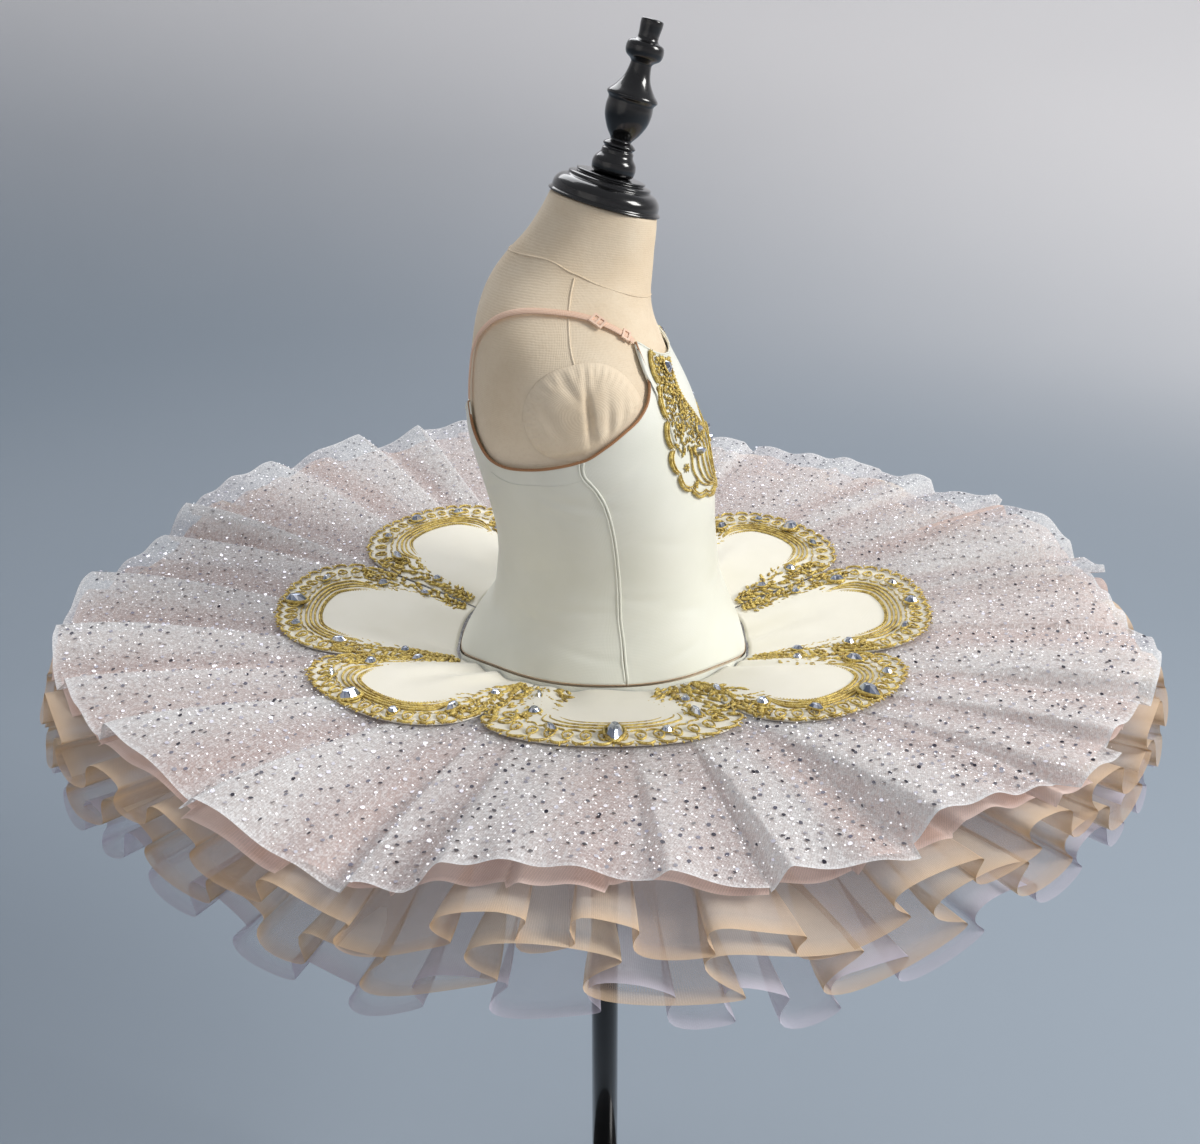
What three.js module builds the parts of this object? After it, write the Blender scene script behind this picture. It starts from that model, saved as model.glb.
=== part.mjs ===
// A child's ballet tutu on its dress form and stand: a satin bodice, eight satin petals edged with
// gold lace, and a flat skirt of five tulle layers.
// Millimetres, +Z up. The origin is on the floor, at the centre of the base's underside.
// The garment's front faces -Y, so the wearer's right side is at -X.

import * as THREE from 'three';

// ---------------------------------------------------------------------------------------------
// Driving dimensions
// ---------------------------------------------------------------------------------------------
const RIM_HEIGHT = 720;        // floor to the rim of the skirt's top layer; every "level" is from here
const SKIRT_RADIUS = 366;      // centre line of the form to the rim
const BASE_RADIUS = 130;
const BASE_THICKNESS = 14;
const POLE_RADIUS = 11;
const NECK_TILT = 15.5;        // degrees that the neck and its finial lean forward
const SEAM_GAP = 0.3;          // between two pieces that meet
const FORM_GAP = 1.3;          // between the form and the cloth on it
const SATIN = 1.5;             // wall of the bodice
const BODICE_OUT = FORM_GAP + SATIN;
const TULLE = 1.2;             // wall of one tulle layer
const PETAL_CLEAR = 1.0;       // petal over the top tulle layer
const PETAL_WALL = 1.3;
const LACE_CLEAR = 0.8;        // lace or binding over the satin under it
const LACE_WALL = 1.0;
const WAIST_TO_LEG = 16;       // how far the hip line drops from the sides to the centre front and back

const rad = THREE.MathUtils.degToRad;
const clamp = THREE.MathUtils.clamp;
const smooth = THREE.MathUtils.smoothstep;
const signedPower = (x, p) => Math.sign(x) * Math.abs(x) ** p;

// ---------------------------------------------------------------------------------------------
// The body of the form. A row is one section: level of its centre, y of its back and its front,
// half its width, and how far its back rises over its centre where the neck leans forward.
// ---------------------------------------------------------------------------------------------
const SECTIONS = [
  { level: -120, back: 84, front: -82, half: 86, rise: 0 },
  { level: -90, back: 96, front: -93, half: 97, rise: 0 },
  { level: -50, back: 101, front: -98, half: 100, rise: 0 },
  { level: -35, back: 95, front: -95, half: 98, rise: 0 },
  { level: -20, back: 85, front: -89, half: 93, rise: 0 },
  { level: -5, back: 76, front: -83, half: 87, rise: 0 },
  { level: 10, back: 73, front: -78, half: 83, rise: 0 },
  { level: 31, back: 71, front: -75, half: 81, rise: 0 },
  { level: 50, back: 72, front: -73, half: 83, rise: 0 },
  { level: 70, back: 76, front: -72, half: 86, rise: 0 },
  { level: 90, back: 81, front: -69, half: 89, rise: 0 },
  { level: 105, back: 85, front: -66, half: 91, rise: 0 },
  { level: 120, back: 88, front: -61, half: 92, rise: 0 },
  { level: 135, back: 88.5, front: -56, half: 93, rise: 0 },
  { level: 150, back: 88, front: -49, half: 93, rise: 0 },
  { level: 165, back: 86.5, front: -41, half: 91, rise: 0 },
  { level: 177, back: 85, front: -36, half: 86, rise: 0 },
  { level: 188, back: 83, front: -32, half: 77, rise: 0.4 },
  { level: 198, back: 80, front: -30, half: 65, rise: 1 },
  { level: 208, back: 75.5, front: -29.5, half: 52, rise: 2 },
  { level: 217, back: 69.5, front: -30, half: 43, rise: 3 },
  { level: 226, back: 61, front: -30.5, half: 38, rise: 4.5 },
  { level: 236, back: 50, front: -31, half: 35.5, rise: 6 },
  { level: 247, back: 41, front: -32, half: 34.5, rise: 7.5 },
  { level: 258.4, back: 33.5, front: -32.6, half: 34, rise: 8.8 },
];
const ROUNDNESS = 2.25;        // 2 is an ellipse; more is squarer
const NECK_CENTRE = new THREE.Vector3(0, 0.5, RIM_HEIGHT + 258.4);

// Smooth value at x of a table's column, by cubics whose slopes are those between the next rows.
function fromTable(table, key, column, x) {
  const last = table.length - 1;
  let i = 0;
  while (i < last - 1 && x > table[i + 1][key]) i += 1;
  const [p0, p1, p2, p3] = [i - 1, i, i + 1, i + 2].map((j) => table[clamp(j, 0, last)]);
  const span = p2[key] - p1[key];
  const t = clamp((x - p1[key]) / span, 0, 1);
  const slope1 = (p2[column] - p0[column]) / (p2[key] - p0[key]);
  const slope2 = (p3[column] - p1[column]) / (p3[key] - p1[key]);
  return (2 * t ** 3 - 3 * t ** 2 + 1) * p1[column] + (t ** 3 - 2 * t ** 2 + t) * span * slope1
    + (3 * t ** 2 - 2 * t ** 3) * p2[column] + (t ** 3 - t ** 2) * span * slope2;
}

// Point on the form: turn is in degrees, 0 at the front, 90 at the wearer's right, 180 at the back.
function formPoint(turn, level) {
  const [back, front, half, rise] = ['back', 'front', 'half', 'rise']
    .map((column) => fromTable(SECTIONS, 'level', column, level));
  const c = signedPower(Math.cos(rad(turn)), 2 / ROUNDNESS);
  const s = signedPower(Math.sin(rad(turn)), 2 / ROUNDNESS);
  return new THREE.Vector3(-half * s, (back + front) / 2 - (back - front) / 2 * c, RIM_HEIGHT + level - rise * c);
}

// The same point moved out, square to the surface.
function overForm(turn, level, out) {
  const step = 0.5;
  const across = formPoint(turn + step, level).sub(formPoint(turn - step, level));
  const up = formPoint(turn, level + step).sub(formPoint(turn, level - step));
  const normal = up.cross(across).normalize();
  return formPoint(turn, level).addScaledVector(normal, out);
}

// ---------------------------------------------------------------------------------------------
// Solids
// ---------------------------------------------------------------------------------------------
const part = new THREE.Group();

const COLOURS = {
  linen: ['#e2cfae', 0.85, 0],
  gloss_black: ['#0b0b0c', 0.15, 0],
  satin: ['#efeddc', 0.45, 0],
  binding: ['#b98a62', 0.6, 0],
  elastic: ['#e3b090', 0.65, 0],
  clear_slider: ['#d9a98c', 0.3, 0],
  gold_lace: ['#c39a3a', 0.5, 0.3],
  tulle_glitter: ['#e6e2e8', 0.7, 0],
  tulle_pink: ['#e5c4bd', 0.8, 0],
  tulle_peach: ['#e8cfae', 0.8, 0],
  tulle_cream: ['#eadbc6', 0.8, 0],
  tulle_lilac: ['#dcd3e2', 0.8, 0],
};
const materials = Object.fromEntries(Object.entries(COLOURS).map(([name, [color, roughness, metalness]]) => [
  name, new THREE.MeshStandardMaterial({ name, color, roughness, metalness }),
]));

function addMesh(name, material, geometry) {
  const mesh = new THREE.Mesh(geometry, materials[material]);
  mesh.name = name;
  part.add(mesh);
  return mesh;
}

// Closed geometry from points and triangles, with its faces turned out.
function closedGeometry(points, triangles) {
  let volume = 0;
  const cross = new THREE.Vector3();
  for (const [a, b, c] of triangles) volume += points[a].dot(cross.crossVectors(points[b], points[c]));
  const index = triangles.flatMap(([a, b, c]) => (volume > 0 ? [a, b, c] : [a, c, b]));
  const geometry = new THREE.BufferGeometry();
  geometry.setAttribute('position', new THREE.Float32BufferAttribute(points.flatMap((p) => p.toArray()), 3));
  geometry.setIndex(index);
  geometry.computeVertexNormals();
  return geometry;
}

// A wall between two faces: at(i, j, face) gives the points of face 0 and face 1 on a grid of
// columns by rows. A closed wall joins its last column to its first.
function wall(name, material, columns, rows, closed, at) {
  const points = [];
  for (const face of [0, 1]) {
    for (let i = 0; i < columns; i += 1) {
      for (let j = 0; j < rows; j += 1) points.push(at(i, j, face));
    }
  }
  const id = (i, j, face) => (face * columns + (i % columns)) * rows + j;
  const triangles = [];
  const quad = (a, b, c, d) => triangles.push([a, b, c], [a, c, d]);
  const spans = closed ? columns : columns - 1;
  for (let i = 0; i < spans; i += 1) {
    for (let j = 0; j < rows - 1; j += 1) {
      quad(id(i, j, 0), id(i + 1, j, 0), id(i + 1, j + 1, 0), id(i, j + 1, 0));
      quad(id(i, j, 1), id(i, j + 1, 1), id(i + 1, j + 1, 1), id(i + 1, j, 1));
    }
    quad(id(i, 0, 0), id(i, 0, 1), id(i + 1, 0, 1), id(i + 1, 0, 0));
    quad(id(i, rows - 1, 0), id(i + 1, rows - 1, 0), id(i + 1, rows - 1, 1), id(i, rows - 1, 1));
  }
  if (!closed) {
    for (let j = 0; j < rows - 1; j += 1) {
      quad(id(0, j, 0), id(0, j + 1, 0), id(0, j + 1, 1), id(0, j, 1));
      quad(id(columns - 1, j, 0), id(columns - 1, j, 1), id(columns - 1, j + 1, 1), id(columns - 1, j + 1, 0));
    }
  }
  return addMesh(name, material, closedGeometry(points, triangles));
}

// A turned solid: profile rows are { r, z }, from the axis at the bottom to the axis at the top.
function turned(name, material, profile, segments) {
  const points = profile.map(({ r, z }) => new THREE.Vector2(r, z));
  return addMesh(name, material, new THREE.LatheGeometry(points, segments));
}

const SIDES = [
  { name: 'right', mirror: 1 },
  { name: 'left', mirror: -1 },
];

// ---------------------------------------------------------------------------------------------
// Stand and form
// ---------------------------------------------------------------------------------------------
function buildStand() {
  const edge = 4;
  const base = turned('base_disc', 'gloss_black', [
    { r: 0, z: 0 },
    { r: BASE_RADIUS - 1.5, z: 0 },
    { r: BASE_RADIUS, z: 1.5 },
    { r: BASE_RADIUS, z: BASE_THICKNESS - edge },
    { r: BASE_RADIUS - edge / 3, z: BASE_THICKNESS - edge / 3 },
    { r: BASE_RADIUS - edge, z: BASE_THICKNESS },
    { r: 0, z: BASE_THICKNESS },
  ], 48);
  const collarHeight = 30;
  const collarWall = 12;
  const bottom = BASE_THICKNESS + SEAM_GAP;
  const inside = POLE_RADIUS + 0.4;
  const collar = turned('pole_collar', 'gloss_black', [
    { r: inside, z: bottom },
    { r: inside + collarWall, z: bottom },
    { r: inside + collarWall, z: bottom + collarHeight * 0.4 },
    { r: inside + collarWall * 0.4, z: bottom + collarHeight * 0.85 },
    { r: inside + collarWall * 0.2, z: bottom + collarHeight },
    { r: inside, z: bottom + collarHeight },
    { r: inside, z: bottom },
  ], 28);
  const poleTop = RIM_HEIGHT + SECTIONS[0].level - SEAM_GAP;
  const pole = turned('pole', 'gloss_black', [
    { r: 0, z: bottom },
    { r: POLE_RADIUS, z: bottom },
    { r: POLE_RADIUS, z: poleTop },
    { r: 0, z: poleTop },
  ], 24);
  for (const mesh of [base, collar, pole]) mesh.rotation.x = Math.PI / 2;   // lathe axis Y becomes Z
}

function buildTorso() {
  const around = 48;
  const points = [];
  const triangles = [];
  SECTIONS.forEach(({ level }) => {
    for (let i = 0; i < around; i += 1) points.push(formPoint((i * 360) / around, level));
  });
  for (let j = 0; j < SECTIONS.length - 1; j += 1) {
    for (let i = 0; i < around; i += 1) {
      const [a, b] = [j * around + i, j * around + ((i + 1) % around)];
      triangles.push([a, b, b + around], [a, b + around, a + around]);
    }
  }
  const top = (SECTIONS.length - 1) * around;
  points.push(new THREE.Vector3(0, 1, RIM_HEIGHT + SECTIONS[0].level), NECK_CENTRE.clone());
  const [under, over] = [points.length - 2, points.length - 1];
  for (let i = 0; i < around; i += 1) {
    const next = (i + 1) % around;
    triangles.push([under, next, i], [over, top + i, top + next]);
  }
  addMesh('form_torso', 'linen', closedGeometry(points, triangles));
}

// The turned cap and finial stand on the neck, along its leaning axis.
const NECK_PROFILE = [
  { r: 0, z: 0.4 }, { r: 33.5, z: 0.4 }, { r: 34.3, z: 3 }, { r: 33.6, z: 7.5 }, { r: 30.5, z: 11 },
  { r: 26.6, z: 12.6 }, { r: 26, z: 14.6 }, { r: 21.5, z: 15.6 }, { r: 20.5, z: 17.4 }, { r: 0, z: 17.4 },
];
const FINIAL_PROFILE = [
  { r: 0, z: 17.7 }, { r: 11.5, z: 17.7 }, { r: 13.8, z: 21.5 }, { r: 13.2, z: 26 }, { r: 10.4, z: 29.6 },
  { r: 10, z: 32 }, { r: 9, z: 33.4 }, { r: 10.3, z: 35.2 }, { r: 8, z: 37.4 }, { r: 6.6, z: 38.6 },
  { r: 10.2, z: 43.5 }, { r: 13.6, z: 50.5 }, { r: 14.5, z: 57 }, { r: 14.2, z: 61.5 }, { r: 15.9, z: 64.6 },
  { r: 12, z: 69 }, { r: 8.2, z: 75 }, { r: 6.6, z: 82 }, { r: 7, z: 84.5 }, { r: 10.6, z: 87.2 },
  { r: 11.7, z: 91 }, { r: 10.6, z: 95 }, { r: 6.4, z: 97.4 }, { r: 6.9, z: 106.6 }, { r: 5.6, z: 108.6 },
  { r: 0, z: 108.6 },
];

function buildFinial() {
  const stand = new THREE.Group();
  stand.position.copy(NECK_CENTRE);
  stand.rotation.x = Math.PI / 2 + rad(NECK_TILT);
  stand.add(turned('neck_cap', 'gloss_black', NECK_PROFILE, 32));
  stand.add(turned('finial', 'gloss_black', FINIAL_PROFILE, 24));
  part.add(stand);
}

// ---------------------------------------------------------------------------------------------
// Bodice. Levels of its edges on the right half; the left half is its mirror image.
// ---------------------------------------------------------------------------------------------
const hipLevel = (turn) => -30.5 - WAIST_TO_LEG * Math.cos(rad(turn)) ** 8;

// Top edge of the front, from the centre front by the strap's corner to the seam under the arm,
// and where each column of cloth ends on the hip line.
const FRONT_EDGE = [
  { turn: 0, level: 168, foot: 0 },
  { turn: 15, level: 169, foot: 12 },
  { turn: 30, level: 174, foot: 23 },
  { turn: 46.5, level: 184, foot: 33 },
  { turn: 45, level: 165, foot: 42 },
  { turn: 51, level: 153, foot: 50 },
  { turn: 60, level: 144, foot: 58 },
  { turn: 70, level: 137, foot: 66 },
  { turn: 80, level: 129, foot: 75 },
  { turn: 90, level: 120.5, foot: 83.5 },
];
const BACK_EDGE = [
  { turn: 90.4, level: 120.3, foot: 83.9 },
  { turn: 101, level: 116, foot: 96 },
  { turn: 113, level: 113, foot: 109 },
  { turn: 128, level: 111, foot: 123 },
  { turn: 139, level: 113, foot: 135 },
  { turn: 146, level: 120, foot: 145 },
  { turn: 153, level: 130, foot: 153 },
  { turn: 157, level: 143, foot: 160 },
  { turn: 168, level: 133, foot: 169 },
  { turn: 180, level: 129, foot: 180 },
];
// The piped seam bends forward under the arm, then runs down to the hip.
const SEAM = [
  { level: -31, turn: 83.5 },
  { level: 0, turn: 86 },
  { level: 60, turn: 86 },
  { level: 87, turn: 86.4 },
  { level: 100, turn: 88.2 },
  { level: 111, turn: 91 },
  { level: 121, turn: 90.2 },
];
const BODICE_ROWS = [0, 0.11, 0.24, 0.4, 0.54, 0.66, 0.77, 0.88, 1];
const COLUMN_SPLIT = 2;        // columns of faces between two rows of an edge table

// Values of an edge table at a column that may lie between two of its rows.
function edgeAt(edge, column) {
  const row = Math.min(Math.floor(column), edge.length - 2);
  const value = (key) => THREE.MathUtils.lerp(edge[row][key], edge[row + 1][key], column - row);
  return { turn: value('turn'), level: value('level'), foot: value('foot') };
}

function bodicePoint(edge, seamColumn, column, share, out, mirror) {
  const { turn, level: top, foot } = edgeAt(edge, column);
  const level = THREE.MathUtils.lerp(hipLevel(foot), top, share);
  const straight = THREE.MathUtils.lerp(foot, turn, share);
  const seamStraight = THREE.MathUtils.lerp(edge[seamColumn].foot, edge[seamColumn].turn, share);
  const bend = fromTable(SEAM, 'level', 'turn', level) + (seamColumn ? 0 : 0.4) - seamStraight;
  const pull = (1 - Math.abs(column - seamColumn) / (edge.length - 1)) ** 3;
  const point = overForm(straight + bend * pull, level, out);
  point.x *= mirror;
  return point;
}

function buildBodice() {
  for (const { name, edge, seamColumn } of [
    { name: 'bodice_front', edge: FRONT_EDGE, seamColumn: FRONT_EDGE.length - 1 },
    { name: 'bodice_back', edge: BACK_EDGE, seamColumn: 0 },
  ]) {
    // columns run from one side seam, through the centre, to the other side seam
    const half = edge.length - 1;
    const columns = 2 * half * COLUMN_SPLIT + 1;
    wall(name, 'satin', columns, BODICE_ROWS.length, false, (i, j, face) => {
      const fromCentre = i / COLUMN_SPLIT - half;
      const column = seamColumn ? Math.abs(fromCentre) : half - Math.abs(fromCentre);
      const mirror = fromCentre < 0 ? -1 : 1;
      return bodicePoint(edge, seamColumn, column, BODICE_ROWS[j], face ? BODICE_OUT : FORM_GAP, mirror);
    });
  }
  // the band under the hip line that the tulle layers are sewn to
  const around = 48;
  const yokeBottom = -97;
  const yokeRows = [0, 0.3, 0.55, 0.78, 1];
  wall('hip_yoke', 'satin', around, yokeRows.length, true, (i, j, face) => {
    const turn = (i * 360) / around;
    const level = THREE.MathUtils.lerp(yokeBottom, hipLevel(turn) - 1.5, yokeRows[j]);
    return overForm(turn, level, face ? BODICE_OUT : FORM_GAP);
  });
}

// A flat band along a route on the form: rows are { turn, level }, and it stands off by low to high.
function band(name, material, route, width, low, high, mirror) {
  const places = route.map(({ turn, level }) => overForm(turn, level, 0));
  wall(name, material, route.length, 2, false, (i, j, face) => {
    const { turn, level } = route[i];
    const along = places[Math.min(i + 1, places.length - 1)].clone().sub(places[Math.max(i - 1, 0)]).normalize();
    const normal = overForm(turn, level, 1).sub(places[i]);
    const side = new THREE.Vector3().crossVectors(normal, along).normalize();
    const point = overForm(turn, level, face ? high : low).addScaledVector(side, (j - 0.5) * width);
    point.x *= mirror;
    return point;
  });
}

const STRAP_WIDTH = 4.5;
const STRAP = [
  { turn: 50.5, level: 187.5 }, { turn: 55, level: 190 }, { turn: 62, level: 193.5 }, { turn: 71, level: 197 },
  { turn: 80, level: 199.5 }, { turn: 90, level: 201 }, { turn: 101, level: 201.5 }, { turn: 112, level: 201 },
  { turn: 123, level: 199 }, { turn: 133, level: 195.5 }, { turn: 142, level: 190 }, { turn: 150, level: 182.5 },
  { turn: 155, level: 173 }, { turn: 157, level: 160 }, { turn: 157.2, level: 146 },
];
// The narrow binding turned over the armhole's raw edge.
const BINDING = [
  { turn: 46.2, level: 182 }, { turn: 45.4, level: 173 }, { turn: 45.2, level: 164.5 }, { turn: 51, level: 152.5 },
  { turn: 60, level: 143.5 }, { turn: 70, level: 136.5 }, { turn: 80, level: 128.5 }, { turn: 90, level: 120 },
  { turn: 101, level: 115.5 }, { turn: 113, level: 112.5 }, { turn: 128, level: 110.5 }, { turn: 139, level: 112.5 },
  { turn: 146, level: 119.5 }, { turn: 152.6, level: 130 }, { turn: 156.2, level: 141 },
];

// A small strap fitting: a frame with one or two slots, lying on the strap at { turn, level }.
function fitting(name, turn, level, width, length, slots, out, mirror) {
  const bar = 1.3;
  const outline = new THREE.Shape();
  outline.moveTo(-width / 2, -length / 2).lineTo(width / 2, -length / 2);
  outline.lineTo(width / 2, length / 2).lineTo(-width / 2, length / 2);
  const slotLength = (length - bar * (slots + 1)) / slots;
  for (let k = 0; k < slots; k += 1) {
    const low = -length / 2 + bar + k * (slotLength + bar);
    const slot = new THREE.Path();
    slot.moveTo(-width / 2 + bar, low).lineTo(-width / 2 + bar, low + slotLength);
    slot.lineTo(width / 2 - bar, low + slotLength).lineTo(width / 2 - bar, low);
    outline.holes.push(slot);
  }
  const thickness = 1.2;
  const geometry = new THREE.ExtrudeGeometry(outline, { depth: thickness, bevelEnabled: false });
  const mesh = addMesh(name, 'clear_slider', geometry);
  const place = overForm(turn, level, 0);
  const normal = overForm(turn, level, 1).sub(place);
  const along = overForm(turn + 6, level + 3.2, 0).sub(place);
  const across = new THREE.Vector3().crossVectors(along, normal).normalize();
  const lengthways = new THREE.Vector3().crossVectors(normal, across);
  place.addScaledVector(normal, out);
  for (const vector of [across, lengthways, normal, place]) vector.x *= mirror;
  if (mirror < 0) across.negate();   // keeps the axes right-handed in the mirror image
  mesh.applyMatrix4(new THREE.Matrix4().makeBasis(across, lengthways, normal).setPosition(place));
}

// Shoulder caps of the form: a low dome on each side above the armhole.
function buildShoulderCaps() {
  const caps = { middleTurn: 84, halfTurn: 27, middleLevel: 155, halfLevel: 22.5, dip: 8, height: 3.2 };
  const [around, rings] = [28, 4];
  for (const { name, mirror } of SIDES) {
    const points = [];
    const triangles = [];
    const place = (share, i, out) => {
      const angle = rad((i * 360) / around);
      const turn = caps.middleTurn + caps.halfTurn * share * Math.cos(angle);
      const dip = caps.dip * Math.cos(angle) * share;      // the armhole is lower towards the back
      const level = caps.middleLevel - dip + caps.halfLevel * share * Math.sin(angle);
      const point = overForm(turn, level, out);
      point.x *= mirror;
      return point;
    };
    for (const face of [0, 1]) {
      points.push(place(0, 0, face ? FORM_GAP + caps.height : FORM_GAP));
      for (let k = 1; k <= rings; k += 1) {
        const share = k / rings;
        const dome = 1 + (caps.height - 1) * (1 - share ** 3);
        for (let i = 0; i < around; i += 1) points.push(place(share, i, face ? FORM_GAP + dome : FORM_GAP));
      }
    }
    const half = 1 + rings * around;
    const id = (face, k, i) => face * half + 1 + (k - 1) * around + (i % around);
    for (let i = 0; i < around; i += 1) {
      triangles.push([0, id(0, 1, i + 1), id(0, 1, i)], [half, id(1, 1, i), id(1, 1, i + 1)]);
      for (let k = 1; k < rings; k += 1) {
        for (const face of [0, 1]) {
          const [a, b, c, d] = [id(face, k, i), id(face, k, i + 1), id(face, k + 1, i + 1), id(face, k + 1, i)];
          if (face) triangles.push([a, d, c], [a, c, b]);
          else triangles.push([a, b, c], [a, c, d]);
        }
      }
      const [a, b, c, d] = [id(0, rings, i), id(0, rings, i + 1), id(1, rings, i + 1), id(1, rings, i)];
      triangles.push([a, b, c], [a, c, d]);
    }
    addMesh(`shoulder_cap_${name}`, 'linen', closedGeometry(points, triangles));
  }
}

// Gold lace of the bodice: rows from the strap down to the centre front, with its two edges.
const BODICE_LACE = [
  { inner: 17, innerLevel: 168.5, outer: 40, outerLevel: 178 },
  { inner: 22, innerLevel: 160, outer: 39, outerLevel: 166 },
  { inner: 26, innerLevel: 151, outer: 43.5, outerLevel: 154 },
  { inner: 24, innerLevel: 142, outer: 49, outerLevel: 143 },
  { inner: 20, innerLevel: 134, outer: 49.5, outerLevel: 133.5 },
  { inner: 15, innerLevel: 126, outer: 55.5, outerLevel: 123 },
  { inner: 8, innerLevel: 118, outer: 50.5, outerLevel: 116.5 },
  { inner: 1.2, innerLevel: 111, outer: 56, outerLevel: 106 },
  { inner: 1, innerLevel: 98, outer: 50, outerLevel: 98.5 },
  { inner: 1, innerLevel: 88, outer: 41, outerLevel: 91 },
  { inner: 1, innerLevel: 80, outer: 26, outerLevel: 82 },
];

function buildTrim() {
  for (const { name, mirror } of SIDES) {
    band(`strap_${name}`, 'elastic', STRAP, STRAP_WIDTH, 0.6, 1.6, mirror);
    const overSatin = BODICE_OUT + LACE_CLEAR;
    band(`armhole_binding_${name}`, 'binding', BINDING, 3, overSatin, overSatin + 0.8, mirror);
    fitting(`strap_slider_${name}`, 71, 197, 7.5, 9, 2, 2, mirror);
    fitting(`strap_ring_${name}`, 52.5, 188.7, 7, 5.5, 1, 2, mirror);
    const across = 7;
    wall(`bodice_lace_${name}`, 'gold_lace', BODICE_LACE.length, across, false, (i, j, face) => {
      const { inner, innerLevel, outer, outerLevel } = BODICE_LACE[i];
      const share = j / (across - 1);
      const turn = THREE.MathUtils.lerp(inner, outer, share);
      const level = THREE.MathUtils.lerp(innerLevel, outerLevel, share);
      const point = overForm(turn, level, face ? overSatin + LACE_WALL : overSatin);
      point.x *= mirror;
      return point;
    });
  }
}

// ---------------------------------------------------------------------------------------------
// Skirt. A point of a layer is at turn, and at a reach of 0 on the hip to 1 on the skirt's radius.
// ---------------------------------------------------------------------------------------------
// Large folds: middle and half width in degrees, and how far each rises at the rim.
const FOLDS = [
  { turn: 4, width: 9, rise: -8 },
  { turn: 22, width: 9, rise: 4 },
  { turn: 40, width: 8, rise: 4 },
  { turn: 56, width: 7, rise: 6 },
  { turn: 74, width: 7, rise: -8 },
  { turn: 93, width: 9, rise: 8 },
  { turn: 111, width: 7, rise: -13 },
  { turn: 134, width: 9, rise: 14 },
  { turn: 152, width: 8, rise: 8 },
  { turn: 170, width: 7, rise: 2 },
  { turn: 195, width: 7, rise: -11 },
  { turn: 209, width: 8, rise: 8 },
  { turn: 227, width: 11, rise: 11 },
  { turn: 247, width: 10, rise: 12 },
  { turn: 264, width: 8, rise: 4 },
  { turn: 282, width: 9, rise: -3 },
  { turn: 302, width: 12, rise: -9 },
  { turn: 322, width: 9, rise: -10 },
  { turn: 339, width: 6, rise: 8 },
  { turn: 349, width: 6, rise: -7 },
];
// Layers from the top: where each is sewn below the hip line, its radius, how far its rim hangs
// below the top layer's, how much shorter it is cut over the right hip, and the count, height and
// start of its own small pleats.
const LAYERS = [
  { name: '1_glitter', sewn: 4, radius: 366, hang: 0, trim: 28, pleats: 0, pleat: 0 },
  { name: '2_pink', sewn: 12, radius: 363, hang: 11, trim: 26, pleats: 15, pleat: 2 },
  { name: '3_peach', sewn: 20, radius: 368, hang: 23, trim: 14, pleats: 13, pleat: 2.5 },
  { name: '4_cream', sewn: 28, radius: 368, hang: 36, trim: 8, pleats: 14, pleat: 3 },
  { name: '5_lilac', sewn: 36, radius: 366, hang: 50, trim: 6, pleats: 12, pleat: 3 },
];
const TRIM_WIDTH = 45;         // degrees over which that shorter stretch dies away
const REACH_ROWS = [0, 0.18, 0.45, 0.72, 1];
const MIDDLE_DROP = 4.2;       // one layer under the next where they lie closest

const turnApart = (a, b) => ((a - b + 540) % 360) - 180;

function skirtLevel(turn, reach, layer) {
  const plate = (hipLevel(turn) - LAYERS[0].sewn) * (1 - reach) ** 1.6;
  const folds = FOLDS.reduce((sum, f) => sum + f.rise * Math.exp(-((turnApart(turn, f.turn) / f.width) ** 2)), 0);
  const spread = smooth(reach, 0.42, 1);
  const number = LAYERS.indexOf(layer);
  const sewn = (layer.sewn - LAYERS[0].sewn) * (1 - smooth(reach, 0, 0.3));
  const middle = MIDDLE_DROP * number * smooth(reach, 0, 0.3) * (1 - spread);
  const own = layer.pleat * Math.sin(rad(turn * layer.pleats + 40 * number)) * spread;
  return plate - sewn - middle + (folds - layer.hang + own) * spread;
}

function skirtPoint(turn, reach, layer, lift) {
  const inner = overForm(turn, hipLevel(turn) - layer.sewn, BODICE_OUT + 1);
  const trim = layer.trim * Math.exp(-((turnApart(turn, 90) / TRIM_WIDTH) ** 2));
  const radius = layer.radius - trim;
  const x = THREE.MathUtils.lerp(inner.x, -radius * Math.sin(rad(turn)), reach);
  const y = THREE.MathUtils.lerp(inner.y, -radius * Math.cos(rad(turn)), reach);
  return new THREE.Vector3(x, y, RIM_HEIGHT + skirtLevel(turn, reach, layer) + lift);
}

function buildSkirt() {
  const around = 54;
  for (const layer of LAYERS) {
    const [, colour] = layer.name.split('_');
    wall(`tulle_${layer.name}`, `tulle_${colour}`, around, REACH_ROWS.length, true, (i, j, face) => (
      skirtPoint((i * 360) / around, REACH_ROWS[j], layer, face ? 0 : -TULLE)
    ));
  }
}

// Petals: the middle of each, half its width in degrees, and the radii of its tip and of the
// valleys on its two sides.
const PETALS = [
  { name: 'front', turn: 0, half: 20.5, tip: 229 },
  { name: 'front_right', turn: 41.5, half: 20.5, tip: 228 },
  { name: 'side_right', turn: 88.5, half: 26, tip: 213 },
  { name: 'back_right', turn: 136.5, half: 21.5, tip: 226 },
  { name: 'back', turn: 180, half: 21.5, tip: 229 },
  { name: 'back_left', turn: 223.5, half: 21.5, tip: 222 },
  { name: 'side_left', turn: 271.5, half: 26, tip: 213 },
  { name: 'front_left', turn: 318.5, half: 20.5, tip: 210 },
];
const VALLEY = 176;
const HIP_RADIUS = 104;        // mean radius where the petals start
const PETAL_GAP = 0.2;         // degrees left free on each side of a petal

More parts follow.
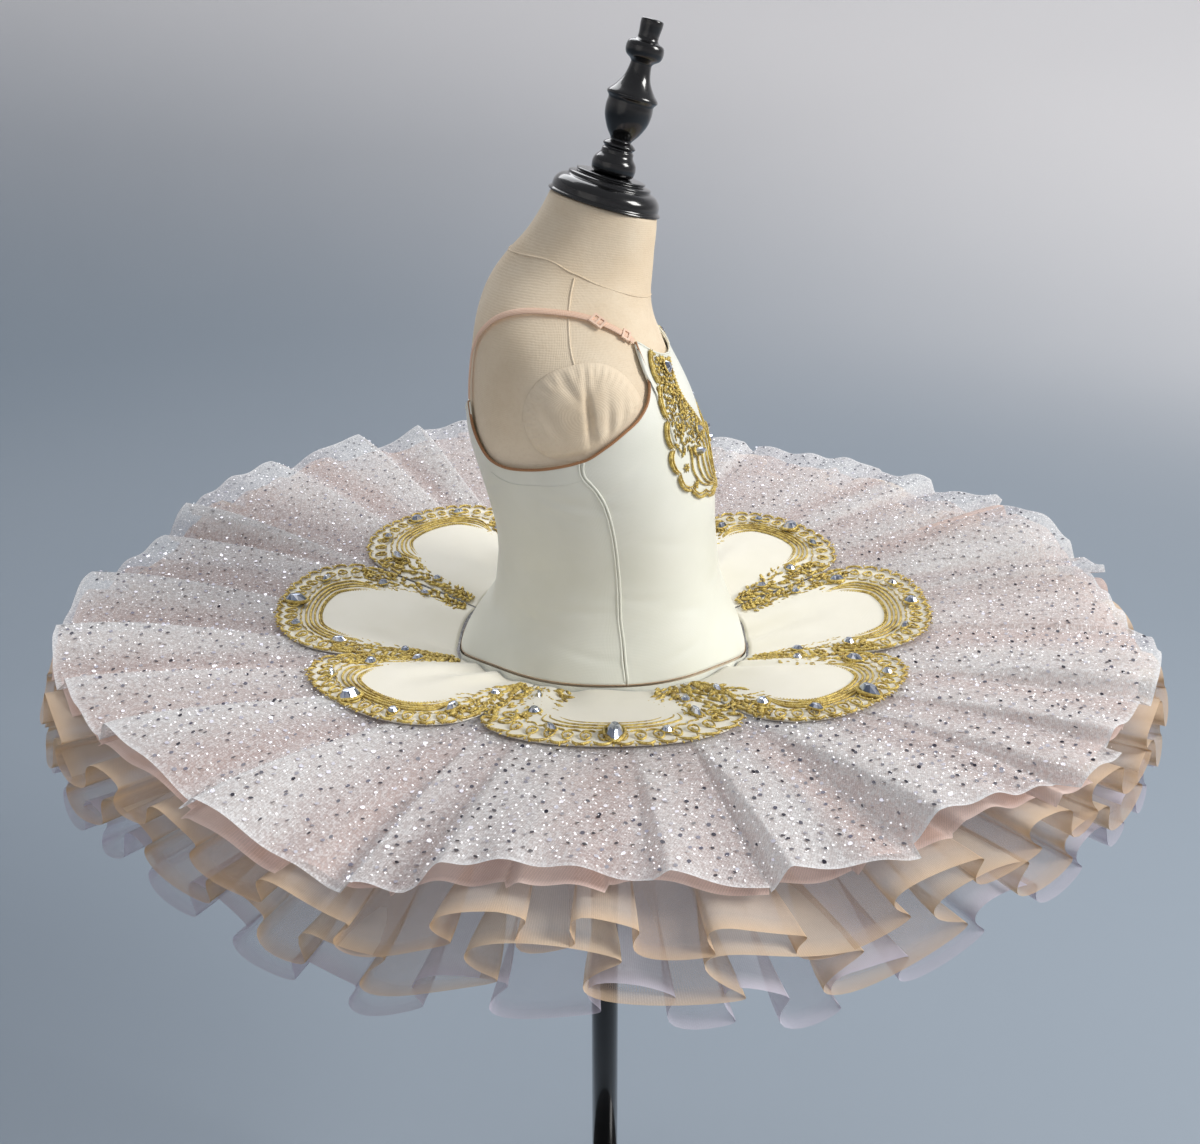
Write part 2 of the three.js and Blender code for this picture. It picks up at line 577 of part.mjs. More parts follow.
// Outline of one half of a lace border in shares of the petal: across from its middle, and out
// from the hip. The border widens from a point at the hip to a full scallop round the tip.
const BORDER = [
  { outerAcross: 0.985, outerOut: 0.1, innerAcross: 0.9, innerOut: 0.1 },
  { outerAcross: 0.985, outerOut: 0.4, innerAcross: 0.77, innerOut: 0.34 },
  { outerAcross: 0.985, outerOut: 0.74, innerAcross: 0.65, innerOut: 0.5 },
  { outerAcross: 0.96, outerOut: 0.985, innerAcross: 0.59, innerOut: 0.62 },
  { outerAcross: 0.78, outerOut: 0.985, innerAcross: 0.53, innerOut: 0.71 },
  { outerAcross: 0.5, outerOut: 0.985, innerAcross: 0.38, innerOut: 0.79 },
  { outerAcross: 0.2, outerOut: 0.985, innerAcross: 0.15, innerOut: 0.82 },
];

function petalPoint(petal, across, out, lift) {
  const lobe = (1 - Math.abs(across) ** 2.6) ** 0.5;
  const radius = VALLEY + (petal.tip - VALLEY) * lobe;
  const reach = ((radius - HIP_RADIUS) / (SKIRT_RADIUS - HIP_RADIUS)) * out;
  return skirtPoint(petal.turn + across * (petal.half - PETAL_GAP), reach, LAYERS[0], lift);
}

function buildPetals() {
  const acrossRows = [-1, -0.86, -0.5, 0, 0.5, 0.86, 1];
  const outRows = [0.02, 0.34, 0.68, 1];
  for (const petal of PETALS) {
    wall(`petal_${petal.name}`, 'satin', acrossRows.length, outRows.length, false, (i, j, face) => (
      petalPoint(petal, acrossRows[i], outRows[j], PETAL_CLEAR + (face ? PETAL_WALL : 0))
    ));
    const border = [
      ...BORDER.map((row) => ({ ...row, side: -1 })),
      ...[...BORDER].reverse().map((row) => ({ ...row, side: 1 })),
    ];
    const low = PETAL_CLEAR + PETAL_WALL + LACE_CLEAR;
    wall(`lace_${petal.name}`, 'gold_lace', border.length, 2, false, (i, j, face) => {
      const row = border[i];
      const across = row.side * THREE.MathUtils.lerp(row.innerAcross, row.outerAcross, j);
      const out = THREE.MathUtils.lerp(row.innerOut, row.outerOut, j);
      return petalPoint(petal, across, out, face ? low + LACE_WALL : low);
    });
  }
}

buildStand();
buildTorso();
buildFinial();
buildShoulderCaps();
buildBodice();
buildTrim();
buildSkirt();
buildPetals();

export default part;
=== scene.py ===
# %% [markdown]
# # A ballet tutu on its dress form
# This lesson builds the visible surfaces of a child's classical tutu: a stretch-satin bodice, eight
# satin petals edged with gold lace, and a flat skirt of five layers of tulle, all carried by a linen
# dress form on a stand. The construction comes first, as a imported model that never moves, and every
# surface here is worked out from the same few dimensions, so nothing has to be fitted afterwards.

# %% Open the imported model
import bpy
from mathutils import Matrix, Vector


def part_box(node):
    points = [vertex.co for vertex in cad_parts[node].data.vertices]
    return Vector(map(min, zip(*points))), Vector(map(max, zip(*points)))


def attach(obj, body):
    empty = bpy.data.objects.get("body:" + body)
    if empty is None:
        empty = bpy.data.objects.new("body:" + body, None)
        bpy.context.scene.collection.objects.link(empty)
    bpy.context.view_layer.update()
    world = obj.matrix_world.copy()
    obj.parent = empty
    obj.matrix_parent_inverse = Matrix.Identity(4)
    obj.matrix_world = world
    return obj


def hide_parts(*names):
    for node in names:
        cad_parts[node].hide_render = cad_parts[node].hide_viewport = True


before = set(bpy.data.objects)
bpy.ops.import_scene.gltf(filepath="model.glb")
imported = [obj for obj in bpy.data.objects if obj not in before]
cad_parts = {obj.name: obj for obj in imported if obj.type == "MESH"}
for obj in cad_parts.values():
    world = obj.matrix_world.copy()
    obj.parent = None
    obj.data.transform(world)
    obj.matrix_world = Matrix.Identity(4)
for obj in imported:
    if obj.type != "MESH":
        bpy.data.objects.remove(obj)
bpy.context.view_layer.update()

# %% [markdown]
# ## The camera
# A tutu is best seen from a little above, at the wearer's right: the plate opens into an oval and
# the bodice shows its side. The camera stands a little under a metre from the dress form, level with
# its finial, and has a moderately wide lens.

# %% Camera
import bpy
import numpy as np
from mathutils import Vector

MM = 0.001
CAMERA_PLACE = (-0.800, 0.0, 1.078)
CAMERA_PITCH = 23.7            # degrees below the horizon
CAMERA_LENS = 37.14


def make_camera():
    """Looks along +X, tipped down by the pitch."""
    data = bpy.data.cameras.new("camera")
    data.lens = CAMERA_LENS
    data.shift_x = -0.004
    data.clip_start, data.clip_end = 0.01, 50
    camera = bpy.data.objects.new("camera", data)
    camera.location = CAMERA_PLACE
    camera.rotation_euler = np.radians((90 - CAMERA_PITCH, 0, -90))
    bpy.context.scene.collection.objects.link(camera)
    bpy.context.scene.camera = camera


make_camera()
# Light passes through many layers of net before it reaches the floor.
bpy.context.scene.cycles.transparent_max_bounces = 32
bpy.context.scene.view_settings.view_transform = "Standard"
print("camera at", CAMERA_PLACE, "pitched down", CAMERA_PITCH)

# %% [markdown]
# ## Tables and smooth curves
# A pattern cutter works from a few measured sections and lets a curved ruler fill in between them.
# A table with named columns and a cubic through its rows does the same. Whole arrays go through it
# at once, so a surface of fifty thousand points takes one call.

# %% Tables


def table(columns, *rows):
    """Named columns of numbers, one row for each section."""
    return dict(zip(columns.split(), np.array(rows, float).T))


def from_table(rows, key, column, x):
    """Cubic between the rows on either side of x, whose slopes are those of the next rows' chords."""
    k, v = rows[key], rows[column]
    x = np.asarray(x, float)
    i = np.clip(np.searchsorted(k, x, side="right") - 1, 0, len(k) - 2)
    before, after = np.maximum(i - 1, 0), np.minimum(i + 2, len(k) - 1)
    span = k[i + 1] - k[i]
    t = np.clip((x - k[i]) / span, 0, 1)
    slope_1 = (v[i + 1] - v[before]) / (k[i + 1] - k[before])
    slope_2 = (v[after] - v[i]) / (k[after] - k[i])
    return ((2 * t**3 - 3 * t**2 + 1) * v[i] + (t**3 - 2 * t**2 + t) * span * slope_1
            + (3 * t**2 - 2 * t**3) * v[i + 1] + (t**3 - t**2) * span * slope_2)


def smooth(x, low, high):
    """0 below low, 1 above high, with a soft S between."""
    t = np.clip((np.asarray(x, float) - low) / (high - low), 0, 1)
    return t * t * (3 - 2 * t)


def mix(a, b, share):
    return a + (b - a) * share


def unit(v):
    return v / np.maximum(np.linalg.norm(v, axis=-1, keepdims=True), 1e-12)


# %% [markdown]
# ## The body of the form
# A dress form is a stack of rounded sections, deeper than an ellipse at the corners. Each row gives
# a level over the skirt's rim, the depth to the back and to the front, half the width, and how far
# the back rises where the neck leans forward. A point is named by its turn and its level: turn 0 is
# the centre front, 90 the wearer's right side, 180 the centre back.

# %% Sections of the form
SECTIONS = table(
    "level back front half rise",
    (-120, 84, -82, 86, 0), (-90, 96, -93, 97, 0), (-50, 101, -98, 100, 0), (-35, 95, -95, 98, 0),
    (-20, 85, -89, 93, 0), (-5, 76, -83, 87, 0), (10, 73, -78, 83, 0), (31, 71, -75, 81, 0),
    (50, 72, -73, 83, 0), (70, 76, -72, 86, 0), (90, 81, -69, 89, 0), (105, 85, -66, 91, 0),
    (120, 88, -61, 92, 0), (135, 88.5, -56, 93, 0), (150, 88, -49, 93, 0), (165, 86.5, -41, 91, 0),
    (177, 85, -36, 86, 0), (188, 83, -32, 77, 0.4), (198, 80, -30, 65, 1), (208, 75.5, -29.5, 52, 2),
    (217, 69.5, -30, 43, 3), (226, 61, -30.5, 38, 4.5), (236, 50, -31, 35.5, 6),
    (247, 41, -32, 34.5, 7.5), (258.4, 33.5, -32.6, 34, 8.8),
)
ROUNDNESS = 2.25               # 2 is an ellipse; more is squarer
FORM_BOTTOM = SECTIONS["level"][0]
FORM_TOP = SECTIONS["level"][-1]
RIM_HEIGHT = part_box("form_torso")[0][2] / MM - FORM_BOTTOM      # millimetres over the floor
NECK_TILT = np.radians(15.5)


def form_point(turn, level):
    """Point of the form, in millimetres from the middle of the rim's plane: a superellipse whose
    half axes come from the table at that level."""
    turn, level = np.broadcast_arrays(np.radians(turn), np.asarray(level, float))
    back, front, half, rise = (from_table(SECTIONS, "level", name, level)
                               for name in ("back", "front", "half", "rise"))
    cosine, sine = np.cos(turn), np.sin(turn)
    c = np.sign(cosine) * np.abs(cosine) ** (2 / ROUNDNESS)
    s = np.sign(sine) * np.abs(sine) ** (2 / ROUNDNESS)
    return np.stack([-half * s, (back + front) / 2 - (back - front) / 2 * c, level - rise * c], -1)


def form_normal(turn, level):
    """Cross product of the steps up and around."""
    step = 0.5
    across = form_point(turn + step, level) - form_point(turn - step, level)
    up = form_point(turn, level + step) - form_point(turn, level - step)
    return unit(np.cross(up, across))


def over_form(turn, level, out):
    """Point of the form moved out, square to its surface."""
    turn, level, out = np.broadcast_arrays(np.asarray(turn, float), np.asarray(level, float), out)
    return form_point(turn, level) + form_normal(turn, level) * out[..., None]


def hip_level(turn):
    """The hip line is high at the sides and drops to the centre front and back."""
    return -30.5 - 16 * np.cos(np.radians(turn)) ** 8


print("rim at", round(float(RIM_HEIGHT), 1), "mm; waist half width",
      round(float(from_table(SECTIONS, "level", "half", 31)), 1), "mm")

# %% [markdown]
# ## Meshes from grids
# Almost every piece is a surface over a grid of two parameters. One function turns a grid of points
# into quads, puts them into a mesh as whole arrays, and adds a UV map in metres of cloth and any
# marks that a finish reads. Small repeated shapes, such as sequins, share another function, which
# copies one template to many places and turns by broadcasting.

# %% Mesh helpers
finishes = {}
made = []
SIDES = (("right", 1), ("left", -1))       # the wearer's, with the factor that mirrors the right one


def add_mesh(name, points, faces, finish, slot, uv=None, marks=None, flat=False):
    """Puts points in millimetres over the rim's middle into a mesh in metres over the floor."""
    points = np.asarray(points, float).reshape(-1, 3)
    faces = np.asarray(faces, np.int32)
    mesh = bpy.data.meshes.new(name)
    mesh.vertices.add(len(points))
    mesh.vertices.foreach_set("co", ((points + (0, 0, RIM_HEIGHT)) * MM).astype(np.float32).ravel())
    mesh.loops.add(faces.size)
    mesh.loops.foreach_set("vertex_index", faces.ravel())
    mesh.polygons.add(len(faces))
    mesh.polygons.foreach_set("loop_start", np.arange(0, faces.size, faces.shape[1], dtype=np.int32))
    mesh.update(calc_edges=True)
    mesh.polygons.foreach_set("use_smooth", np.full(len(faces), not flat))
    if uv is not None:
        layer = mesh.uv_layers.new(name="UVMap")
        layer.data.foreach_set("uv", np.asarray(uv, np.float32).ravel())
    for mark, values in (marks or {}).items():
        attribute = mesh.attributes.new(mark, "FLOAT", "POINT")
        attribute.data.foreach_set("value", np.asarray(values, np.float32).ravel())
    mesh.materials.append(finishes[finish])
    piece = bpy.data.objects.new(name, mesh)
    bpy.context.scene.collection.objects.link(piece)
    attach(piece, "root")
    made.append(piece)
    return piece


def grid_faces(columns, rows, wrap=False, seam=False):
    """Quads of a grid whose points run row by row within each column. A wrapped grid closes on its
    first column, or, with a seam, on a last column of its own."""
    i = np.arange(columns if wrap else columns - 1)[:, None]
    j = np.arange(rows - 1)[None, :]
    after = i + 1 if seam else (i + 1) % columns
    a, b = i * rows + j, after * rows + j
    return np.stack([a, b, b + 1, a + 1], -1).reshape(-1, 4)


def grid_piece(name, points, finish, slot, wrap=False, uv=None, marks=None, away=None):
    """A surface over a grid of columns by rows, with its faces turned away from a point, or up."""
    columns, rows = points.shape[:2]
    faces = grid_faces(columns, rows, wrap)
    flat_points = points.reshape(-1, 3)
    corners = None if uv is None else uv.reshape(-1, 2)[grid_faces(columns, rows, wrap, seam=True)]
    a, b, c, d = (flat_points[faces[:, k]] for k in range(4))
    normals = np.cross(c - a, d - b)
    toward = (a + c) / 2 - away if away is not None else np.array([0.0, 0.0, 1.0])
    if (normals * toward).sum() < 0:
        faces = faces[:, ::-1]
        corners = None if corners is None else corners[:, ::-1]
    return add_mesh(name, flat_points, faces, finish, slot, corners, marks)


def copies(template, faces, places, turns, sizes):
    """Copies of one small shape. turns holds, for each copy, its three unit axes as rows; sizes its
    three scales. Gives all points and all faces."""
    scaled = template[None] * sizes[:, None, :]
    points = places[:, None, :] + np.einsum("kvi,kij->kvj", scaled, turns)
    first = np.arange(len(places))[:, None, None] * len(template)
    return points.reshape(-1, 3), (faces[None] + first).reshape(-1, faces.shape[1])


def joined(*sets):
    """Several sets of points and faces as one."""
    points, faces, start = [], [], 0
    for p, f in sets:
        points.append(p.reshape(-1, 3))
        faces.append(f + start)
        start += len(points[-1])
    return np.concatenate(points), np.concatenate(faces)


def frames_on(surface, u, v, heading):
    """Axes along a heading, across it and out of a surface: surface(u, v, out) gives points, and the
    heading is an angle in radians, with 0 along rising u."""
    step = 0.0004
    place = surface(u, v, np.zeros_like(u))
    out = unit(surface(u, v, np.ones_like(u)) - place)
    along = surface(u + step, v, np.zeros_like(u)) - place
    along = unit(along - (along * out).sum(-1, keepdims=True) * out)
    side = np.cross(out, along)
    c, s = np.cos(heading)[..., None], np.sin(heading)[..., None]
    return place, np.stack([along * c + side * s, side * c - along * s, out], -2)


def in_threes(quads):
    """Each quad as two triangles, so that cords can be joined with the small shapes."""
    return np.concatenate([quads[:, [0, 1, 2]], quads[:, [0, 2, 3]]])


def grid_uv(across, along):
    """UV map of a grid, in metres: across changes from column to column, along from row to row."""
    return np.stack(np.broadcast_arrays(across, along), -1)


def cord_grid(centre, out, width, height, sides=6):
    """Tube round a path: an ellipse of width by height whose short axis follows out."""
    along = unit(np.gradient(centre, axis=0))
    side = unit(np.cross(out, along))
    angle = np.linspace(0, 2 * np.pi, sides, endpoint=False)
    width = np.broadcast_to(width, len(centre))[:, None, None] / 2
    height = np.broadcast_to(height, len(centre))[:, None, None] / 2
    ring = side[:, None] * width * np.cos(angle)[None, :, None]
    return centre[:, None] + ring + out[:, None] * height * np.sin(angle)[None, :, None]


def cord_set(centre, out, width, height, sides=6):
    """Points and faces of a closed tube; its ends shrink to a point."""
    ease = np.minimum(1, np.minimum(np.arange(len(centre)), np.arange(len(centre))[::-1]) / 2 + 0.02)
    ring = cord_grid(centre, out, width * ease, height * ease, sides)
    n, m = ring.shape[:2]
    i, j = np.arange(n - 1)[:, None], np.arange(m)[None, :]
    a, b = i * m + j, i * m + (j + 1) % m
    return ring.reshape(-1, 3), np.stack([a, b, b + m, a + m], -1).reshape(-1, 4)


print("helpers ready")

# %% [markdown]
# ## Writing a finish as arithmetic
# A finish is a small graph of nodes, and a graph is easier to read as a formula. The class below
# wraps a socket, so that an expression such as 0.4 + 0.2 * weave adds the Math nodes by itself.
# Everything else comes from one method that makes a node from its type, its settings and its inputs.

# %% Shader arithmetic


def srgb(red, green, blue):
    """Colour given as 0 to 255 on a screen, as linear light."""
    c = np.array([red, green, blue]) / 255
    linear = np.where(c <= 0.04045, c / 12.92, ((c + 0.055) / 1.055) ** 2.4)
    return (*linear.tolist(), 1.0)


class Wire:
    """An output socket that can be added to, multiplied and so on."""

    def __init__(self, finish, socket):
        self.finish, self.socket = finish, socket

    def math(self, operation, a, b=0.0):
        return self.finish.node("ShaderNodeMath", {"operation": operation}, {0: a, 1: b})

    def __add__(self, other):
        return self.math("ADD", self, other)

    def __radd__(self, other):
        return self.math("ADD", other, self)

    def __sub__(self, other):
        return self.math("SUBTRACT", self, other)

    def __rsub__(self, other):
        return self.math("SUBTRACT", other, self)

    def __mul__(self, other):
        return self.math("MULTIPLY", self, other)

    def __rmul__(self, other):
        return self.math("MULTIPLY", other, self)

    def sine(self):
        return self.math("SINE", self)

    def size(self):
        return self.math("ABSOLUTE", self)

    def least(self, other):
        return self.math("MINIMUM", self, other)

    def step(self, low, high):
        """0 below low, 1 above high, soft between."""
        return self.finish.node("ShaderNodeMapRange", {"interpolation_type": "SMOOTHSTEP"},
                                {0: self, 1: low, 2: high})


class Finish:
    """A material under construction, with its Principled shader."""

    def __init__(self, name, **constants):
        self.material = bpy.data.materials.new(name)
        self.material.use_nodes = True
        self.tree = self.material.node_tree
        self.shader = self.tree.nodes["Principled BSDF"]
        self.set(**constants)
        finishes[name] = self.material

    def node(self, kind, settings=None, inputs=None, output=0):
        node = self.tree.nodes.new(kind)
        for key, value in (settings or {}).items():
            setattr(node, key, value)
        for key, value in (inputs or {}).items():
            self.put(node.inputs[key], value)
        return Wire(self, node.outputs[output])

    def put(self, socket, value):
        if isinstance(value, Wire):
            self.tree.links.new(value.socket, socket)
        else:
            socket.default_value = value

    def set(self, **values):
        for key, value in values.items():
            self.put(self.shader.inputs[key.replace("_", " ")], value)

    def noise(self, vector, scale, detail=3.0, rough=0.6):
        return self.node("ShaderNodeTexNoise", {"noise_dimensions": "3D"},
                         {"Vector": vector, "Scale": scale, "Detail": detail, "Roughness": rough})

    def place(self):
        return self.node("ShaderNodeTexCoord", output="Object")

    def cloth(self):
        """Metres along and across the cloth."""
        return self.node("ShaderNodeUVMap", {"uv_map": "UVMap"})

    def split(self, vector):
        return [self.node("ShaderNodeSeparateXYZ", None, {0: vector}, k) for k in range(3)]

    def mark(self, name):
        return self.node("ShaderNodeAttribute", {"attribute_name": name}, None, "Fac")

    def blend(self, share, first, second):
        """Colour between two colours."""
        return self.node("ShaderNodeMix", {"data_type": "RGBA"}, {0: share, 6: first, 7: second}, 2)

    def bump(self, height, distance, strength=1.0):
        self.set(Normal=self.node("ShaderNodeBump", None,
                                  {"Height": height, "Distance": distance, "Strength": strength}))


print("shader tools ready")

# %% [markdown]
# ## Finishes of the stand and form
# The stand is turned wood under black gloss lacquer: almost no colour, a sharp clear coat, and a
# faint waviness that breaks up its highlights. The form is covered with plain linen, whose uneven
# threads give small soft stripes both ways and a few slubs.

# %% Lacquer and linen


def make_lacquer():
    f = Finish("lacquer", Coat_Weight=0.7, Coat_Roughness=0.05, Specular_IOR_Level=0.3)
    cloud = f.noise(f.place(), 60)
    f.set(Base_Color=f.blend(cloud, srgb(3, 3, 3), srgb(14, 13, 14)), Roughness=0.16 + 0.14 * cloud)
    f.bump(f.noise(f.place(), 30, 1.0), 0.0004, 0.3)


def make_linen():
    f = Finish("linen")
    across, up, _ = f.split(f.cloth())
    wander = f.noise(f.place(), 90)
    threads = (across * 5200 + wander * 9).sine() + (up * 5200 + wander * 9).sine()
    cloud = f.noise(f.place(), 14, 4.0)
    slub = f.noise(f.place(), 420, 2.0)
    tone = f.blend(cloud.step(0.3, 0.7), srgb(224, 204, 174), srgb(238, 222, 196))
    f.set(Base_Color=f.blend(slub.step(0.4, 0.9) * 0.2, tone, srgb(206, 180, 144)),
          Roughness=0.78 + 0.12 * cloud)
    f.set(Sheen_Weight=0.15)
    f.bump(threads * 0.2 + slub, 0.0003, 0.5)


make_lacquer()
make_linen()
print(list(finishes))

# %% [markdown]
# ## Finishes of the bodice
# Stretch satin is a knit with a soft, broad highlight, so its roughness sits near the middle and its
# threads only just show. Its binding is a thin brown tape whose brown is partly its own colour and
# partly painted shade along the armhole edge, and the straps are ribbed elastic.

# %% Satin, binding and elastic


def make_satin(name, dark, light):
    f = Finish(name)
    across, up, _ = f.split(f.cloth())
    cloud = f.noise(f.place(), 22)
    knit = (across * 9000).sine() * 0.6 + (up * 7000).sine() * 0.4
    f.set(Base_Color=f.blend(cloud, dark, light),
          Roughness=0.36 + 0.12 * cloud + 0.03 * knit)
    f.set(Sheen_Weight=0.2, Sheen_Roughness=0.4)
    f.bump(knit * 0.2 + cloud, 0.0006, 0.25)


def make_tape(name, light, dark, ribs, rough):
    """Ribs run along the tape."""
    f = Finish(name)
    across, along, _ = f.split(f.cloth())
    rib = (across * ribs).sine() * 0.5 + (along * ribs * 0.6).sine() * 0.3
    f.set(Base_Color=f.blend((rib + 0.5).step(0, 1), dark, light), Roughness=rough + 0.08 * rib)
    f.bump(rib, 0.0002, 0.5)


make_satin("satin", srgb(224, 226, 212), srgb(239, 240, 230))
make_satin("petal_satin", srgb(230, 225, 206), srgb(242, 238, 225))
# The binding's brown is partly the tape's own colour and partly painted shade of the armhole edge; the hip
# cord uses it as a painted shade line.
make_tape("binding", srgb(196, 148, 104), srgb(140, 92, 58), 6000, 0.6)
make_tape("elastic", srgb(246, 216, 192), srgb(230, 186, 156), 7000, 0.55)
f = Finish("clear_slider", Roughness=0.25, IOR=1.5)
f.set(Base_Color=f.blend(f.noise(f.place(), 300), srgb(232, 196, 168), srgb(246, 220, 200)))
print(list(finishes))

# %% [markdown]
# ## Gold lace, stones and sequins
# Guipure lace is thick thread with no ground between its motifs. The thread is part metal, so it
# keeps its gold colour in its highlights; its twist shows as a fine slanting bump and as flecks of
# pale gold that are painted highlights. The stones are grey glass backed with foil, and the sequins
# are small foil discs, each with a tone of its own that is partly painted glints.

# %% Metal and glass


def make_gold():
    f = Finish("gold_lace", Metallic=0.45)
    cloud = f.noise(f.place(), 260, 4.0)
    twist_and_glint = f.noise(f.place(), 1500, 2.0)
    tone = f.blend(cloud.step(0.32, 0.68), srgb(146, 114, 36), srgb(228, 202, 108))
    # Where the twist noise is high the colour turns pale gold: painted highlights. The same noise also
    # gives the twist's real bump.
    f.set(Base_Color=f.blend(twist_and_glint.step(0.5, 0.7), tone, srgb(250, 236, 170)), Roughness=0.36 + 0.2 * cloud)
    f.bump(twist_and_glint + cloud * 0.5, 0.0005, 0.8)


def make_foil(name, dark, light, metal, rough):
    """Each small shape carries its own tone as a mark. On the stones and sequins the light tones are
    painted glints.
    """
    f = Finish(name, Metallic=metal)
    tone = f.mark("tone")
    f.set(Base_Color=f.blend(tone, dark, light), Roughness=rough + 0.1 * tone)


make_gold()
# The stones' light tones are painted glints.
make_foil("stone", srgb(120, 130, 150), srgb(240, 244, 252), 0.9, 0.06)
# The sequins' tone runs from dark foil to near white; the near-white end is painted glints.
make_foil("sequin", srgb(66, 64, 76), srgb(236, 234, 242), 0.75, 0.25)
# The glitter specks glow by a weak emission: painted glints.
f = Finish("glowing_glitter", Roughness=0.3)
f.set(Base_Color=srgb(255, 255, 255), Emission_Color=srgb(250, 250, 255), Emission_Strength=0.7)
print(list(finishes))

# %% [markdown]
# ## Tulle
# Tulle is a net of six-sided holes about a millimetre and a half wide. From a step away the eye
# takes in how much it hides: about half, more where it is folded double, and more at a cut edge. So
# its opacity is a formula of the net's threads and of three marks that each layer carries: the fold,
# the hem and the crest. The surface stays a single sheet, as a real layer is.
# The crest mark also paints light into the colour: the high sides of pleats and ruffles are lighter.

# %% Tulle


def make_tulle(name, light, dark, edge, cover, fold_cover, frost=0.0):
    """cover is how much the flat net hides, fold_cover how much more where it is doubled, and frost
    how much fine glitter dust whitens it."""
    f = Finish(name, Specular_IOR_Level=0.25)
    across, along, _ = f.split(f.cloth())
    net = 4100.0               # radians of the wave for each metre: holes of 1.5 mm
    wave_a = (across * net).sine().size()
    wave_b = ((across * 0.5 + along * 0.87) * net).sine().size()
    wave_c = ((across * 0.5 - along * 0.87) * net).sine().size()
    holes = wave_a.least(wave_b).least(wave_c)
    thread = 1 - holes.step(0.05, 0.45)
    cloud = f.noise(f.place(), 35, 4.0)
    grain = f.noise(f.place(), 900, 2.0)
    fold, hem, crest_light = f.mark("fold"), f.mark("hem"), f.mark("crest_light")
    dust = f.noise(f.place(), 520, 2.0, 0.7).step(0.42, 0.62) * frost
    # Colour runs from the dark to the light tone by random cloud and grain, by the doubled net, and by the
    # crest mark, which is painted light on the high sides of pleats and ruffles and also makes the net a
    # little more opaque there.
    tone = f.blend((cloud * 0.4 + grain * 0.3 + fold * 0.3 + crest_light * 0.5).step(0.3, 0.95), dark, light)
    tinted = f.blend(hem * 0.7 + fold * 0.3, tone, edge)
    f.set(Base_Color=f.blend(dust, tinted, srgb(255, 255, 255)), Roughness=0.6 + 0.2 * grain,
          Alpha=cover * (0.72 + 0.35 * thread + 0.3 * (cloud - 0.5)) + fold_cover * fold + 0.3 * hem
          + 0.22 * (crest_light - 0.5) + 0.5 * (dust - 0.5 * frost))
    f.set(Sheen_Weight=0.2, Sheen_Roughness=0.5)
    f.bump(thread + grain + 2 * dust, 0.0004, 0.6)


make_tulle("tulle_glitter", srgb(255, 255, 255), srgb(246, 233, 233), srgb(254, 254, 255), 0.66, 0.25, 0.55)
make_tulle("tulle_pink", srgb(248, 220, 208), srgb(232, 190, 176), srgb(248, 224, 214), 0.72, 0.2)
make_tulle("tulle_peach", srgb(252, 232, 212), srgb(232, 202, 176), srgb(240, 204, 160), 0.52, 0.4)
make_tulle("tulle_cream", srgb(250, 236, 218), srgb(232, 208, 186), srgb(240, 206, 164), 0.48, 0.4)
make_tulle("tulle_lilac", srgb(238, 232, 244), srgb(214, 206, 222), srgb(232, 226, 244), 0.38, 0.35)
print(list(finishes))

# %% [markdown]
# ## Stand, neck cap and finial
# Turned pieces are a profile swept round an axis. The profile is a short table of radii and heights,
# rounded by the same cubic as the sections, and enough steps round the axis make it smooth. The
# finial stands on the neck, which leans forward, so its points are tipped about the neck's centre.

# %% Turned pieces
NECK_PROFILE = table(
    "r z",
    (0, 0.4), (33.5, 0.4), (34.3, 3), (33.6, 7.5), (30.5, 11), (26.6, 12.6), (26, 14.6),
    (21.5, 15.6), (20.5, 17.4), (0, 17.4),
)
FINIAL_PROFILE = table(
    "r z",
    (0, 17.7), (11.5, 17.7), (13.8, 21.5), (13.2, 26), (10.4, 29.6), (10, 32), (9, 33.4),
    (10.3, 35.2), (8, 37.4), (6.6, 38.6), (10.2, 43.5), (13.6, 50.5), (14.5, 57), (14.2, 61.5),
    (15.9, 64.6), (12, 69), (8.2, 75), (6.6, 82), (7, 84.5), (10.6, 87.2), (11.7, 91), (10.6, 95),
    (6.4, 97.4), (6.9, 106.6), (5.6, 108.6), (0, 108.6),
)


AROUND = 96


def turned(profile, steps, around):
    """Grid of a profile swept round Z: each span between rows is cut into steps along a cubic, or
    kept straight where there is one step."""
    row = np.arange(len(profile["r"]), dtype=float)
    fine = np.linspace(0, row[-1], int(row[-1]) * steps + 1)
    rows = {"row": row, **profile}
    r = np.maximum(from_table(rows, "row", "r", fine), 0)
    z = from_table(rows, "row", "z", fine)
    angle = np.linspace(0, 2 * np.pi, around, endpoint=False)[:, None]
    return np.stack([r * np.cos(angle), r * np.sin(angle), z + 0 * angle], -1)


def tipped(points):
    """Leans a turned piece forward about the neck's centre."""
    c, s = np.cos(NECK_TILT), np.sin(NECK_TILT)
    x, y, z = points[..., 0], points[..., 1], points[..., 2]
    return np.stack([x, 0.5 + y * c - z * s, FORM_TOP + y * s + z * c], -1)


def straight_profile(node, edge):
    """Profile of a plain turned node, from its box, with a small round edge."""
    low, high = (np.array(corner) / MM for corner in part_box(node))
    r, bottom, top = (high[0] - low[0]) / 2, low[2] - RIM_HEIGHT, high[2] - RIM_HEIGHT
    return table("r z", (0, bottom), (r - edge / 3, bottom), (r, bottom + edge / 3), (r, top - edge),
                 (r - edge * 0.3, top - edge * 0.3), (r - edge, top), (0, top))


